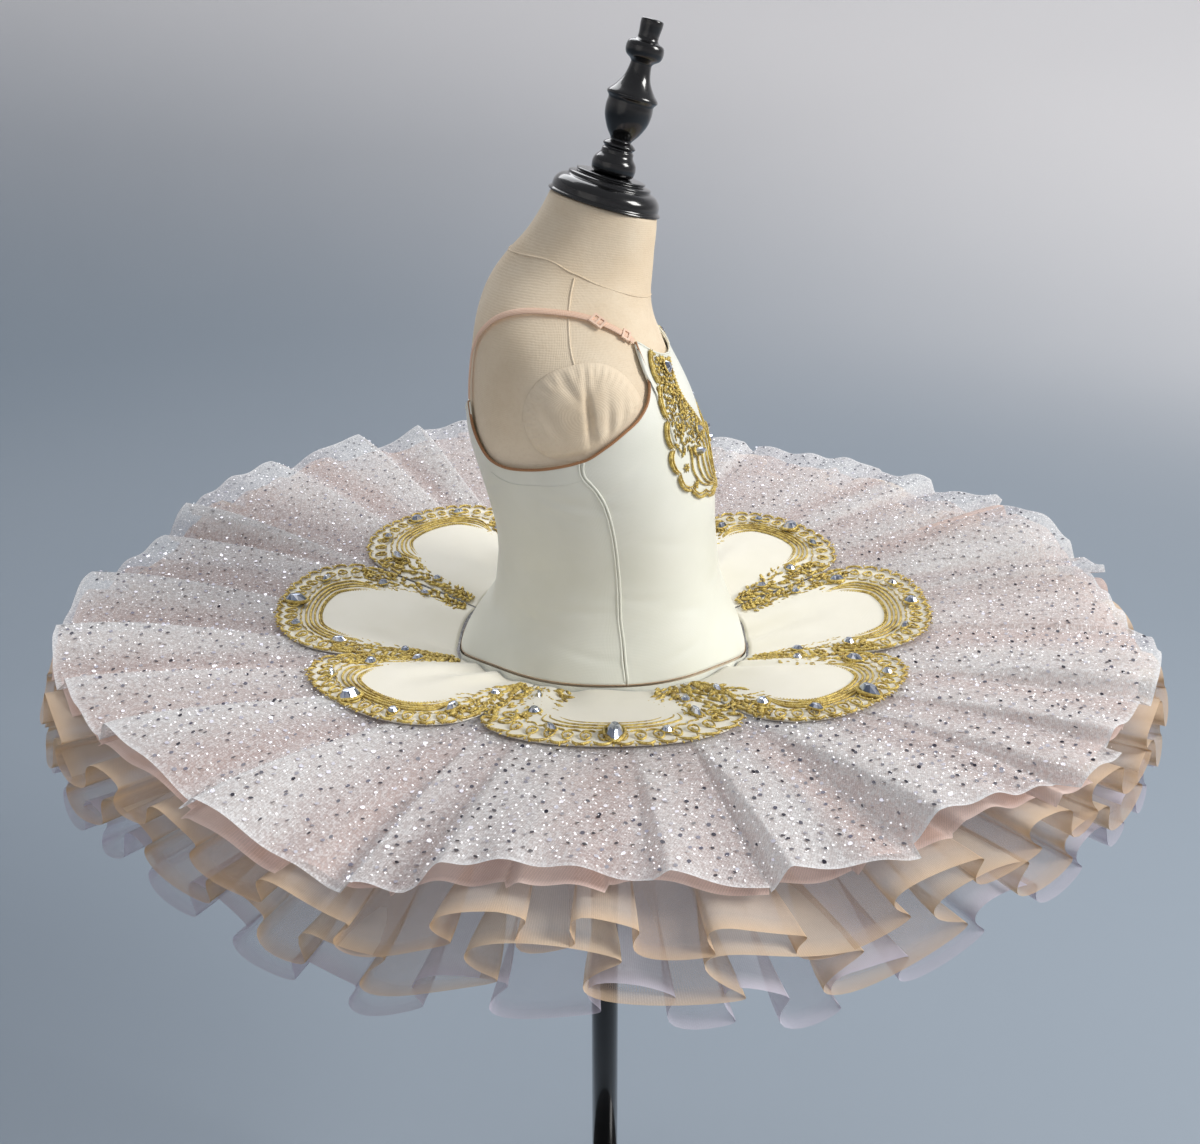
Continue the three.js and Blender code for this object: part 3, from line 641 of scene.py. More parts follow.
def build_stand():
    grids = {}
    for node, edge in (("base_disc", 4), ("pole", 0.6), ("pole_collar", 9)):
        grids[node] = turned(straight_profile(node, edge), 1, AROUND)
    for node, profile in (("neck_cap", NECK_PROFILE), ("finial", FINIAL_PROFILE)):
        grids[node] = tipped(turned(profile, 4, AROUND))
    for node, points in grids.items():
        piece = grid_piece(node + "_turned", points, "lacquer", "gloss_black", wrap=True,
                           away=points.reshape(-1, 3).mean(0))
        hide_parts(node)


build_stand()
print([(p.name, len(p.data.polygons)) for p in made])

# %% [markdown]
# ## The linen form
# The cover is sewn from panels, so a seam runs over each shoulder, one rings the base of the neck,
# and the armhole is closed by a round pad whose linen is drawn up in gathers. The panels are one
# smooth surface; each seam is a narrow cord of the same linen, laid along a route on it.

# %% Linen cover
NECK_SEAM = table("turn level", (0, 204), (34, 208), (72, 216), (92, 222), (113, 227), (146, 227),
                  (180, 226))
SHOULDER_SEAM = table("turn level", (90, 220), (88.5, 207), (87, 194), (86, 182), (85, 176))


CHEST_GIRTH = 0.56             # metres
INSIDE_CHEST = np.array([0.0, 10.0, 60.0])


def build_cover():
    """The form with a faint slackness, closed by a fan at its bottom and its top."""
    columns = 200
    turn = np.linspace(0, 360, columns, endpoint=False)[:, None]
    level = np.linspace(FORM_BOTTOM, FORM_TOP, 200)[None, :]
    points = form_point(turn, level)
    soft = 0.25 * np.sin(np.radians(turn * 7) + level / 17) * np.sin(level / 31)
    points = points + form_normal(turn, level) * soft[..., None]
    bottom, top = (0 * end + end.mean(0) for end in (points[:, :1], points[:, -1:]))
    points = np.concatenate([bottom, points, top], 1)
    uv = grid_uv(np.linspace(0, CHEST_GIRTH, columns + 1)[:, None], points[0, :, 2] * MM)
    piece = grid_piece("linen_cover", points, "linen", "linen", wrap=True, uv=uv, away=INSIDE_CHEST)
    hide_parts("form_torso")


def route_on_form(rows, steps, mirror=1):
    """Even steps along a table of turns and levels, as points and as directions out of the form."""
    row = np.arange(len(rows["turn"]), dtype=float)
    fine = np.linspace(0, row[-1], steps)
    numbered = {"row": row, **rows}
    turn = from_table(numbered, "row", "turn", fine)
    level = from_table(numbered, "row", "level", fine)
    flip = np.array([mirror, 1, 1])
    return form_point(turn, level) * flip, form_normal(turn, level) * flip


def cords_on_form(name, finish, slot, jobs):
    """One mesh of several cords. A job is a table, a width, a height and how far out it lies."""
    sets = []
    for rows, width, height, out in jobs:
        for mirror in (1, -1):
            centre, normal = route_on_form(rows, 90, mirror)
            sets.append(cord_set(centre + normal * out, normal, width, height))
    points, faces = joined(*sets)
    uv = np.stack([points[:, 0] + points[:, 1], points[:, 2]], -1)[faces] * MM
    return add_mesh(name, points, faces, finish, slot, uv)


build_cover()
cords_on_form("linen_seams", "linen", "linen",
              [(rows, 1.2, 0.7, 0.1) for rows in (NECK_SEAM, SHOULDER_SEAM)])
print("cover and seams:", [len(p.data.polygons) for p in made[-2:]], "quads")

# %% Shoulder pads
# The bodice's armhole, under whose edge the pad flattens out.
OPENING = table("turn level", (45, 165), (51, 153), (60, 144), (70, 137), (80, 129), (90, 120.5),
                (101, 116), (115, 112))
PAD = {"turn": 83.5, "half_turn": 29.5, "level": 149, "half_level": 28.5, "dip": 5, "crown": 5.2}
TUCKS = table(
    "turn level tall wide slope depth",
    (84, 146, 21, 1.7, -0.1, 3.0), (77, 139, 16, 2.0, -0.2, 1.8), (70, 142, 14, 2.1, -0.3, 1.4),
    (63, 147, 10, 2.0, -0.3, 0.9), (90, 166, 9, 2.4, 0.35, 1.4), (100, 150, 16, 3.4, 0.25, 1.1),
    (77, 168, 8, 2.4, -0.4, 1.0),
)


def tuck_depth(turn, level):
    """Sum of upright bell-shaped troughs, where the linen is drawn in."""
    total = 0
    for t, l, tall, wide, slope, depth in zip(*(TUCKS[k] for k in TUCKS)):
        up = level - l
        total = total + depth * np.exp(-(up / tall) ** 2 - ((turn - t - slope * up) / wide) ** 2)
    return total


def build_pads():
    """A dome over an oval with a squared lower half, steep at its rim: share is the distance from
    its middle."""
    angle = np.linspace(0, 2 * np.pi, 200, endpoint=False)[:, None]
    share = np.linspace(0.0, 1.0, 56)[None, :]
    squared = np.sign(np.cos(angle)) * np.abs(np.cos(angle)) ** np.where(np.sin(angle) < 0, 0.6, 1)
    turn = PAD["turn"] + PAD["half_turn"] * share * squared
    level = PAD["level"] - PAD["dip"] * np.cos(angle) * share + PAD["half_level"] * share * np.sin(angle)
    pucker = 0.35 * np.sin(angle * 34 + 2 * np.sin(angle * 3)) * smooth(share, 0.6, 0.9) * (1 - share**8)
    puffed = PAD["crown"] * (1 - share**5) + pucker - tuck_depth(turn, level) * (1 - share**4)
    inside = smooth(level - from_table(OPENING, "turn", "level", turn), 0.5, 9)
    out = 0.4 + puffed * inside
    for side, mirror in SIDES:
        uv = grid_uv(np.linspace(0, 0.15, len(angle) + 1)[:, None], share * 0.03)
        piece = grid_piece("shoulder_pad_" + side, over_form(turn, level, out) * (mirror, 1, 1), "linen",
                           "linen", wrap=True, uv=uv, away=INSIDE_CHEST)
        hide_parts("shoulder_cap_" + side)


build_pads()
print("pads", [len(p.data.polygons) for p in made[-2:]])

# %% [markdown]
# ## The bodice
# The bodice is cut as a front and a back that meet in a piped seam under each arm. Its top edge is
# drawn as a table: where each column of cloth starts on that edge, how high the edge is there, and
# where the column ends on the hip line. Between them the cloth follows the form, a little off it.

# %% Bodice
FORM_GAP, SATIN = 1.3, 1.5
BODICE_OUT = FORM_GAP + SATIN
FRONT_EDGE = table(
    "turn level foot",
    (0, 168, 0), (15, 169, 12), (30, 174, 23), (46.5, 184, 33), (45, 165, 42), (51, 153, 50),
    (60, 144, 58), (70, 137, 66), (80, 129, 75), (90, 120.5, 83.5),
)
BACK_EDGE = table(
    "turn level foot",
    (90.4, 120.3, 83.9), (101, 116, 96), (113, 113, 109), (128, 111, 123), (139, 113, 135),
    (146, 120, 145), (153, 130, 153), (157, 143, 160), (168, 133, 169), (180, 129, 180),
)
SEAM = table("level turn", (-31, 83.5), (0, 86), (60, 86), (87, 86.4), (100, 88.2), (111, 91), (121, 90.2))
# Soft creases: middle, half length along, half width across (degrees and millimetres as on the
# form), slope, and depth.
CREASES = table(
    "turn level long wide slope depth",
    (100, 92, 16, 3.0, 0.25, 0.7), (108, 84, 13, 2.6, 0.45, 0.5), (80, 100, 12, 2.6, -0.5, 0.7),
    (70, 112, 12, 2.4, -0.7, 0.6), (62, 60, 14, 4.0, 0.3, 0.4), (120, 40, 16, 4.0, -0.3, 0.5),
    (75, 22, 18, 3.4, 0.12, 0.6), (104, 14, 18, 3.0, -0.1, 0.6), (52, 10, 14, 3.2, 0.3, 0.6),
    (130, 6, 15, 3.4, 0.25, 0.6), (25, 20, 12, 3.6, -0.2, 0.5), (160, 26, 14, 3.6, 0.2, 0.5),
    (96, -14, 12, 2.6, 0.3, 0.6), (60, -16, 13, 2.6, -0.3, 0.6), (145, 92, 12, 3.4, -0.6, 0.6),
)


def crease_depth(turn, level):
    """Sum of long bell-shaped troughs, each sloping across the cloth."""
    across = np.minimum(turn % 360, 360 - turn % 360)
    total = 0
    for t, l, long, wide, slope, depth in zip(*(CREASES[k] for k in CREASES)):
        along = across - t
        total = total + depth * np.exp(-(along / long) ** 2 - ((level - l - slope * along) / wide) ** 2)
    return total


def bodice_grid(edge, seam_last, columns, rows):
    """Turn and level of each point: straight columns from hip to edge, bent near the seam."""
    last = len(edge["turn"]) - 1
    column = np.linspace(0, last, columns)
    numbered = {"column": np.arange(last + 1.0), **edge}
    top_turn, top, foot = (from_table(numbered, "column", k, column)[:, None]
                           for k in ("turn", "level", "foot"))
    share = np.linspace(0, 1, rows)[None, :]
    level = mix(hip_level(foot), top, share)
    seam_row = last if seam_last else 0
    straight = mix(edge["foot"][seam_row], edge["turn"][seam_row], share)
    bend = from_table(SEAM, "level", "turn", level) + (0 if seam_last else 0.4) - straight
    pull = (1 - np.abs(column - seam_row)[:, None] / last) ** 3
    return mix(foot, top_turn, share) + bend * pull, level


HIP_GIRTH, YOKE_BOTTOM = 0.6, -97.0        # metres, and a level


def add_wall(piece, thickness):
    """Gives a sheet its thickness, inwards."""
    wall = piece.modifiers.new("wall", "SOLIDIFY")
    wall.thickness, wall.offset = thickness * MM, -1


def build_bodice():
    pieces = {}
    for name, edge, seam_last in (("front", FRONT_EDGE, True), ("back", BACK_EDGE, False)):
        turn, level = bodice_grid(edge, seam_last, 100, 84)
        if seam_last:          # from the right seam through the centre to the left seam
            turn = np.concatenate([turn[::-1], -turn[1:]])
            level = np.concatenate([level[::-1], level[1:]])
        else:
            turn = np.concatenate([turn, 360 - turn[-2::-1]])
            level = np.concatenate([level, level[-2::-1]])
        points = over_form(turn, level, BODICE_OUT - crease_depth(turn, level) * 0.9)
        uv = np.stack([np.radians(turn) * 0.088, level * MM], -1)
        piece = grid_piece("bodice_" + name + "_satin", points, "satin", "satin", uv=uv,
                           away=INSIDE_CHEST)
        add_wall(piece, SATIN * 0.8)
        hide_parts("bodice_" + name)
        pieces[name] = piece
    columns = 160
    turn = np.linspace(0, 360, columns, endpoint=False)[:, None]
    share = np.linspace(0, 1, 20)[None, :]
    level = mix(YOKE_BOTTOM, hip_level(turn) - 1.0, share)
    flare = 1 - 0.5 * np.sin(share * np.pi)
    uv = grid_uv(np.linspace(0, HIP_GIRTH, columns + 1)[:, None], share * 0.05)
    yoke = grid_piece("hip_yoke_satin", over_form(turn, level, BODICE_OUT * flare + 0.6), "satin", "satin",
                      wrap=True, uv=uv, away=np.array([0.0, 0.0, -60.0]))
    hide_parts("hip_yoke")
    return pieces


bodice = build_bodice()
print("bodice quads:", [len(p.data.polygons) for p in bodice.values()])

# %% [markdown]
# ## Seams, binding and straps
# Two rows of piping lie side by side over each side seam, a tape binds the armhole, and an elastic
# strap runs from the front corner, over the shoulder, to the back. Each is a cord or a flat band
# carried along a route of turns and levels.

# %% Piping, binding and straps
STRAP = table(
    "turn level",
    (47.5, 184.5), (50.5, 187.5), (55, 190), (62, 193.5), (71, 197), (80, 199.5), (90, 201),
    (101, 201.5), (112, 201), (123, 199), (133, 195.5), (142, 190), (150, 182.5), (155, 173),
    (157, 160), (157.2, 144),
)
ARMHOLE = {"turn": np.concatenate([FRONT_EDGE["turn"][3:], BACK_EDGE["turn"][1:8]]),
           "level": np.concatenate([FRONT_EDGE["level"][3:], BACK_EDGE["level"][1:8]])}
NECKLINE = table("turn level", (46, 184), (30, 174.2), (15, 169.2), (0, 168.2))
BACK_NECKLINE = table("turn level", (157, 143), (168, 133.2), (174, 130.4), (180, 129.2))
TOP_HEM = table("turn level", (92, 108), (101, 104.6), (113, 103), (128, 101), (141, 103.4))


def shifted(rows, turn):
    return {"turn": rows["turn"] + turn, "level": rows["level"]}


def hip_cord():
    turn = np.linspace(0, 180, 19)
    return {"turn": turn, "level": hip_level(turn) + 0.3}


def build_trim():
    seam = {"turn": SEAM["turn"][::-1], "level": SEAM["level"][::-1]}
    piping = [(shifted(seam, d), 1.6, 1.0, BODICE_OUT - 0.1) for d in (-0.6, 0.6)]
    hems = [(rows, 1.2, 1.0, BODICE_OUT) for rows in (NECKLINE, BACK_NECKLINE)]
    cords_on_form("bodice_piping", "satin", "satin", piping + hems)
    # A thin brown cord along the hip line paints the shade line where the bodice meets the skirt.
    cords_on_form("hip_shadow_cord", "binding", "binding", [(hip_cord(), 0.4, 0.4, BODICE_OUT)])
    cords_on_form("hem_stitches", "satin", "satin", [(TOP_HEM, 0.35, 0.5, BODICE_OUT + 0.1)])
    for side, mirror in SIDES:
        for name, rows, finish, wide, thick, out, node in (
                ("strap", STRAP, "elastic", 4.6, 1.1, 2.2, "strap_"),
                ("armhole_tape", ARMHOLE, "binding", 1.7, 1.9, BODICE_OUT - 0.3, "armhole_binding_")):
            centre, normal = route_on_form(rows, 140, mirror)
            ring = cord_grid(centre + normal * out, normal, wide, thick, 10)
            uv = grid_uv(np.linspace(0, 0.011, 11)[:, None], np.linspace(0, 0.3, 140))
            piece = grid_piece(f"{name}_band_{side}", ring.transpose(1, 0, 2), finish, finish, wrap=True,
                               uv=uv, away=np.array([0.0, 20.0, 140.0]))
            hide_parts(node + side)


build_trim()
for node in ("strap_slider_right", "strap_slider_left", "strap_ring_right", "strap_ring_left"):
    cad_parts[node].material_slots[0].material = finishes["clear_slider"]
print("trim pieces:", [p.name for p in made[-7:]])

# %% [markdown]
# ## The skirt's surface
# Every layer hangs from the hip and spreads to the same radius, so one function gives them all. The
# plate dips from the hip with a power curve. Large folds are bells round the rim, each with its own
# place, width and height, and they grow from nothing at the middle to their full height at the rim.

# %% Skirt surface
SKIRT_RADIUS = 366.0
FOLDS = table(
    "turn width rise",
    (4, 9, -8), (22, 9, 4), (40, 8, 4), (56, 7, 6), (74, 7, -8), (93, 9, 8), (111, 7, -13),
    (134, 9, 14), (152, 8, 8), (170, 7, 2), (195, 7, -11), (209, 8, 8), (227, 11, 11), (247, 10, 12),
    (264, 8, 4), (282, 9, -3), (302, 12, -9), (322, 9, -10), (339, 6, 8), (349, 6, -7),
)
LAYERS = {
    "tulle_1_glitter": {"number": 0, "sewn": 4, "radius": 366, "hang": 0, "trim": 28},
    "tulle_2_pink": {"number": 1, "sewn": 12, "radius": 363, "hang": 9, "trim": 26},
    "tulle_3_peach": {"number": 2, "sewn": 20, "radius": 368, "hang": 22, "trim": 14},
    "tulle_4_cream": {"number": 3, "sewn": 28, "radius": 368, "hang": 38, "trim": 8},
    "tulle_5_lilac": {"number": 4, "sewn": 36, "radius": 366, "hang": 54, "trim": 6},
}
TRIM_WIDTH = 45.0              # degrees over which the rim is trimmed shorter at the right
NET_DEPTH = 0.27               # metres from the hip to the hem
UPPER_HEM, LOWER_HEM = 2.5, 4.4            # metres round the rim, laid flat
TOP = LAYERS["tulle_1_glitter"]
LAYER_GAP = 4.2                # between layers, halfway out


def turn_apart(a, b):
    return (a - b + 540) % 360 - 180


def large_folds(turn):
    """Sum of the bells at each turn."""
    apart = turn_apart(turn[..., None], FOLDS["turn"]) / FOLDS["width"]
    return (FOLDS["rise"] * np.exp(-apart**2)).sum(-1)


def skirt_point(turn, reach, lift=0.0, layer=TOP, rise=0.0, out=0.0):
    """Straight from the hip to the rim in plan. rise and out add to the height and radius at the
    rim, and lift to the height anywhere."""
    turn, reach, lift, rise, out = np.broadcast_arrays(turn, reach, lift, rise, out)
    inner = over_form(turn, hip_level(turn) - layer["sewn"], BODICE_OUT + 1)
    angle = np.radians(turn)
    radius = layer["radius"] - layer["trim"] * np.exp(-(turn_apart(turn, 90) / TRIM_WIDTH) ** 2) + out
    x = mix(inner[..., 0], -radius * np.sin(angle), reach)
    y = mix(inner[..., 1], -radius * np.cos(angle), reach)
    spread, start = smooth(reach, 0.42, 1), smooth(reach, 0, 0.3)
    plate = (hip_level(turn) - TOP["sewn"]) * (1 - np.minimum(reach, 1)) ** 1.6
    below = (layer["sewn"] - TOP["sewn"]) * (1 - start) + LAYER_GAP * layer["number"] * start * (1 - spread)
    level = plate - below + (large_folds(turn) - layer["hang"] + rise) * spread
    return np.stack([x, y, level + lift], -1)


print("rim height at the front, side and back:",
      [round(float(skirt_point(np.array(t), np.array(1.0))[2]), 1) for t in (0.0, 90.0, 180.0)])

# %% [markdown]
# ## The two upper layers
# The glitter net and the pink net under it are stitched down in flat knife pleats: each climbs slowly
# and drops back at its edge. The pleats are uneven, from a seeded draw, and the net is doubled where
# it drops, so that mark makes it denser and shows more of the pink below.

# %% Upper layers
UPPER = {
    "glitter": {"layer": "tulle_1_glitter", "count": 28, "seed": 3, "depth": 12.0,
                "columns": 1440, "rows": 46},
    "pink": {"layer": "tulle_2_pink", "count": 36, "seed": 8, "depth": 6.0,
             "columns": 1080, "rows": 36},
}


def knife_pleats(turn, count, seed):
    """For each turn: the pleat's height from -0.5 to 0.5, how near its drop is, and its number."""
    draw = np.random.default_rng(seed)
    edges = (np.arange(count) + draw.uniform(-0.44, 0.44, count)) * 360 / count
    edges = np.concatenate([edges, [edges[0] + 360]])
    place = (turn - edges[0]) % 360 + edges[0]
    k = np.clip(np.searchsorted(edges, place, side="right") - 1, 0, count - 1)
    share = (place - edges[k]) / (edges[k + 1] - edges[k])
    tall = (0.25 + 1.15 * draw.uniform(0, 1, count) ** 1.3)[k]
    drop = smooth(share, 0.86, 1.0)
    height = (smooth(share, 0, 0.9) ** 0.8 * (1 - drop) - 0.45) * tall
    near = np.exp(-((share - 1) / 0.10) ** 2) + np.exp(-(share / 0.08) ** 2)
    return height, near * tall, k


def pleat_share(reach):
    """The pleats open from the petals' edge and are at their full height near the rim."""
    return smooth(reach, 0.34, 1.0) ** 0.8


def upper_point(settings, turn, reach, out):
    """Point of an upper layer with its pleats, moved up by out. Each pleat is cut a little short or
    long, the rim flutters, and the net is finely gathered at the hip."""
    seed, count = settings["seed"], settings["count"]
    height, _, k = knife_pleats(turn, count, seed)
    ragged = np.random.default_rng(seed + 50).uniform(-11, 4, count)[k]
    flutter = 1.6 * np.sin(np.radians(turn * 53) + 2 * np.sin(np.radians(turn * 7))) * smooth(reach, 0.8, 1)
    gather = 0.5 * np.sin(np.radians(turn * 90)) * (1 - smooth(reach, 0.2, 0.5))
    lift = out + flutter + gather + settings["depth"] * height * pleat_share(reach)
    return skirt_point(turn, reach, lift, LAYERS[settings["layer"]], 0.0, ragged)


def upper_layer(finish, settings):
    name, columns = settings["layer"], settings["columns"]
    turn = np.linspace(0, 360, columns, endpoint=False)[:, None]
    reach = 1 - (1 - np.linspace(0, 1, settings["rows"])[None, :]) ** 1.15
    height, near, _ = knife_pleats(turn, settings["count"], settings["seed"])
    points = upper_point(settings, turn, reach, 0.0)
    arc = np.linspace(0, 2 * np.pi * SKIRT_RADIUS * MM, columns + 1)[:, None] * (0.35 + 0.65 * reach)
    uv = grid_uv(arc, reach * NET_DEPTH)
    # The crest mark is painted light on each pleat's high side.
    marks = {"fold": near * smooth(reach, 0.3, 0.9) * 0.8 + 0 * reach,
             "hem": smooth(reach, 0.985, 1.0) + 0 * turn,
             "crest_light": mix(0.5, smooth(height, -0.5, 0.5), smooth(reach, 0.2, 0.6))}
    piece = grid_piece(name + "_net", points, finish, finish, wrap=True, uv=uv, marks=marks)
    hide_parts(name)
    return piece


def cloth_area(piece):
    area = np.zeros(len(piece.data.polygons))
    piece.data.polygons.foreach_get("area", area)
    return float(area.sum())


def declare_layer(piece):
    """Prints a layer's area. Each layer is cut as joined trapeziums, wide at the rim and narrow at the hip.
    """
    area = cloth_area(piece)
    print(piece.name, "area", round(area, 3), "m2")


for finish, settings in UPPER.items():
    declare_layer(upper_layer("tulle_" + finish, settings))

# %% [markdown]
# ## The three lower layers
# Below them the tulle is left free and springs into deep ruffles that double back on themselves like
# a letter S. Their turn runs ahead and back again within each ruffle while their height swings up
# and down, and both grow towards the hem.

# %% Lower layers
LOWER = {
    "tulle_3_peach": {"count": 30, "seed": 21, "swing": 9, "double_back": 0.95},
    "tulle_4_cream": {"count": 28, "seed": 22, "swing": 11, "double_back": 1.05},
    "tulle_5_lilac": {"count": 31, "seed": 23, "swing": 9, "double_back": 0.9},
}


def ruffles(columns, count, seed):
    """Uneven ruffles: the base turn of each column, its phase and the size of its ruffle."""
    draw = np.random.default_rng(seed)
    widths = draw.uniform(0.55, 1.5, count)
    edges = np.concatenate([[0], np.cumsum(widths)]) / widths.sum() * 360
    base = np.linspace(0, 360, columns, endpoint=False)
    k = np.clip(np.searchsorted(edges, base, side="right") - 1, 0, count - 1)
    share = (base - edges[k]) / (edges[k + 1] - edges[k])
    size = draw.uniform(0.7, 1.25, count)
    ease = smooth(share, 0, 1)
    return base, share, edges[k + 1] - edges[k], mix(size[k], size[(k + 1) % count], ease)


def lower_layer(name, finish, count, seed, swing, double_back):
    """Height swings once in each ruffle and the turn runs ahead and back twice, so that crests and
    hollows are broad and rounded and the cloth doubles back between them."""
    layer = LAYERS[name]
    columns, rows = count * 36, 18
    base, share, width, size = ruffles(columns, count, seed)
    reach = np.linspace(0.25, 1, rows)[None, :]
    grow = smooth(reach, 0.4, 1.0)
    wave = 2 * np.pi * share[:, None]
    ahead = double_back * size[:, None] * np.sin(2 * wave) / (2 * np.pi) * width[:, None]
    turn = base[:, None] + ahead * grow**1.5
    own = swing * size[:, None] * (np.cos(wave) + 0.15 * np.sin(3 * wave))
    ragged = 4 * np.sin(np.radians(base * 5 + seed))[:, None] - 3 * np.cos(wave)
    points = skirt_point(turn, reach, own * grow, layer, 0.0, ragged)
    lean = 1 + 2 * double_back * size[:, None] * np.cos(2 * wave) * grow**1.5
    uv = grid_uv(np.linspace(0, LOWER_HEM, columns + 1)[:, None], reach * NET_DEPTH)
    # The crest mark is painted light on each ruffle's crest.
    marks = {"fold": np.exp(-(lean / 0.5) ** 2) * smooth(reach, 0.5, 1),
             "hem": smooth(reach, 0.985, 1.0) + 0 * turn,
             "crest_light": 0.5 + 0.5 * np.cos(wave) * grow}
    piece = grid_piece(name + "_net", points, finish, finish, wrap=True, uv=uv, marks=marks)
    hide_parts(name)
    return piece


for name, settings in LOWER.items():
    declare_layer(lower_layer(name, "tulle_" + name.split("_")[-1], **settings))

# %% [markdown]
# ## Satin petals
# Eight satin petals lie on the plate round the hips. Each is a lobe: its radius runs from the valley
# beside it to its tip along a flattened arch. The satin is puffed a little in the middle, and soft
# creases run out from the hip, where it is drawn in.

# %% Petals
VALLEY, HIP_RADIUS, PETAL_GAP, PETAL_TOP = 176.0, 104.0, 0.2, 2.3
PETALS = {
    "front": {"turn": 0, "half": 20.5, "tip": 229, "opening": 1.0, "stone": "round"},
    "front_right": {"turn": 41.5, "half": 20.5, "tip": 228, "opening": 1.0, "stone": "navette"},
    "side_right": {"turn": 88.5, "half": 26, "tip": 213, "opening": 0.72, "stone": "drop"},
    "back_right": {"turn": 136.5, "half": 21.5, "tip": 226, "opening": 1.0, "stone": "oval"},
    "back": {"turn": 180, "half": 21.5, "tip": 229, "opening": 1.0, "stone": "navette"},
    "back_left": {"turn": 223.5, "half": 21.5, "tip": 222, "opening": 1.0, "stone": "round"},
    "side_left": {"turn": 271.5, "half": 26, "tip": 213, "opening": 0.72, "stone": "drop"},
    "front_left": {"turn": 318.5, "half": 20.5, "tip": 210, "opening": 1.0, "stone": "oval"},
}


def lobe_radius(petal, across):
    """A flattened arch from the valley on one side to the valley on the other."""
    return VALLEY + (petal["tip"] - VALLEY) * np.sqrt(np.maximum(1 - np.abs(across) ** 2.6, 0))


def petal_point(petal, across, out, lift):
    """across runs from -1 to 1 over the petal, and out from 0 at the hip to 1 on its edge."""
    radius = lobe_radius(petal, across)
    reach = (radius - HIP_RADIUS) / (SKIRT_RADIUS - HIP_RADIUS) * out
    return skirt_point(petal["turn"] + across * (petal["half"] - PETAL_GAP), reach, lift)


def build_petals():
    across = np.sin(np.linspace(-1, 1, 61) * np.pi / 2)[:, None]
    out = np.linspace(0.01, 1, 44)[None, :]
    for number, (name, petal) in enumerate(PETALS.items()):
        crown = 2.6 * (1 - np.abs(across) ** 3) * smooth(out, 0, 0.35) * (1 - smooth(out, 0.45, 0.9))
        wander = across * 7 + 1.4 * np.sin(number * 2.1 + across * 3) + 0.8 * out
        creases = 1.7 * np.sin(wander + number) * (1 - smooth(out, 0.1, 0.7)) * (1 - across**4)
        lift = PETAL_TOP + crown + creases
        points = petal_point(petal, across, out, lift)
        piece = grid_piece(f"petal_{name}_satin", points, "petal_satin", "satin",
                           uv=grid_uv(across * 0.06, out * 0.12))
        add_wall(piece, 0.8)
        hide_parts("petal_" + name)
        round(cloth_area(piece), 4)


build_petals()
print("petal areas in square metres:", [round(cloth_area(p), 4) for p in made[-8:]])

# %% [markdown]
# ## Motifs of the lace
# Guipure is drawn with a few strokes: cords, leaves, loops like drops, and seeds. The leaf, loop and
# seed are small templates with a handful of faces, and a border is made by copying them along it.

# %% Lace motifs


def leaf_template():
    """Eight points round a pointed oval, with a raised middle and a flat back."""
    angle = np.arange(8) * np.pi / 4
    rim = np.stack([0.5 * np.cos(angle), 0.5 * np.sin(angle) * (1 - 0.3 * np.cos(angle)), 0 * angle], -1)
    points = np.concatenate([rim, [[0, 0, 0.5], [0, 0, -0.2]]])
    k, n = np.arange(8), (np.arange(8) + 1) % 8
    return points, np.concatenate([np.stack([k, n, 8 + 0 * k], -1), np.stack([n, k, 9 + 0 * k], -1)])


def loop_template(thick=0.1):
    """A drop-shaped ring of twelve steps, four points round its cord; its quads are cut in two."""
    angle = np.arange(12) * np.pi / 6
    path = np.stack([0.5 * np.cos(angle), 0.5 * np.sin(angle) * (1 - 0.35 * np.cos(angle)), 0 * angle], -1)
    away = unit(path)
    up = np.array([0.0, 0.0, 1.0])
    sides = (away * thick, up * thick * 1.4, -away * thick, -up * thick)
    ring = np.stack([path + side for side in sides], 1)
    i, j = np.arange(12)[:, None], np.arange(4)[None, :]
    a, b = i * 4 + j, (i + 1) % 12 * 4 + j
    c, d = (i + 1) % 12 * 4 + (j + 1) % 4, i * 4 + (j + 1) % 4
    return ring.reshape(-1, 3), in_threes(np.stack([a, b, c, d], -1).reshape(-1, 4))


LEAF, LOOP = leaf_template(), loop_template()


def motif(template, surface, u, v, heading, sizes, lift=0.4):
    """Copies of a template on a surface."""
    u, v, heading = (np.broadcast_to(np.asarray(x, float), np.shape(u)).ravel() for x in (u, v, heading))
    place, axes = frames_on(surface, u, v, heading)
    scales = np.broadcast_to(np.asarray(sizes, float), (len(u), 3))
    return copies(*template, place + axes[:, 2] * lift, axes, scales)


def stroke(surface, u, v, width, height, lift=0.5, sides=6):
    """A cord along a route on a surface, with its quads cut in two."""
    zero = np.zeros_like(u)
    low = surface(u, v, zero)
    out = unit(surface(u, v, zero + 1) - low)
    points, quads = cord_set(low + out * lift, out, width, height, sides)
    return points, in_threes(quads)


def flower(surface, u, v, petals, size, turn=0.0):
    """Leaves set in a ring round a seed, pointing outwards."""
    place, axes = frames_on(surface, np.array([u]), np.array([v]), np.array([turn]))
    angle = np.arange(petals) * 2 * np.pi / petals
    c, s = np.cos(angle)[:, None], np.sin(angle)[:, None]
    along = axes[:, 0] * c + axes[:, 1] * s
    side = axes[:, 1] * c - axes[:, 0] * s
    turns = np.stack([along, side, np.repeat(axes[:, 2], petals, 0)], 1)
    centre = place + along * size * 0.36 + axes[:, 2] * 0.7
    ring = copies(*LEAF, centre, turns, np.tile([size * 0.62, size * 0.36, 1.8], (petals, 1)))
    seed = copies(*LEAF, place + axes[:, 2] * 1.2, axes, np.array([[size * 0.34, size * 0.34, 2.0]]))
    return joined(ring, seed)


print("a leaf has", len(LEAF[1]), "faces and a loop", len(LOOP[1]))

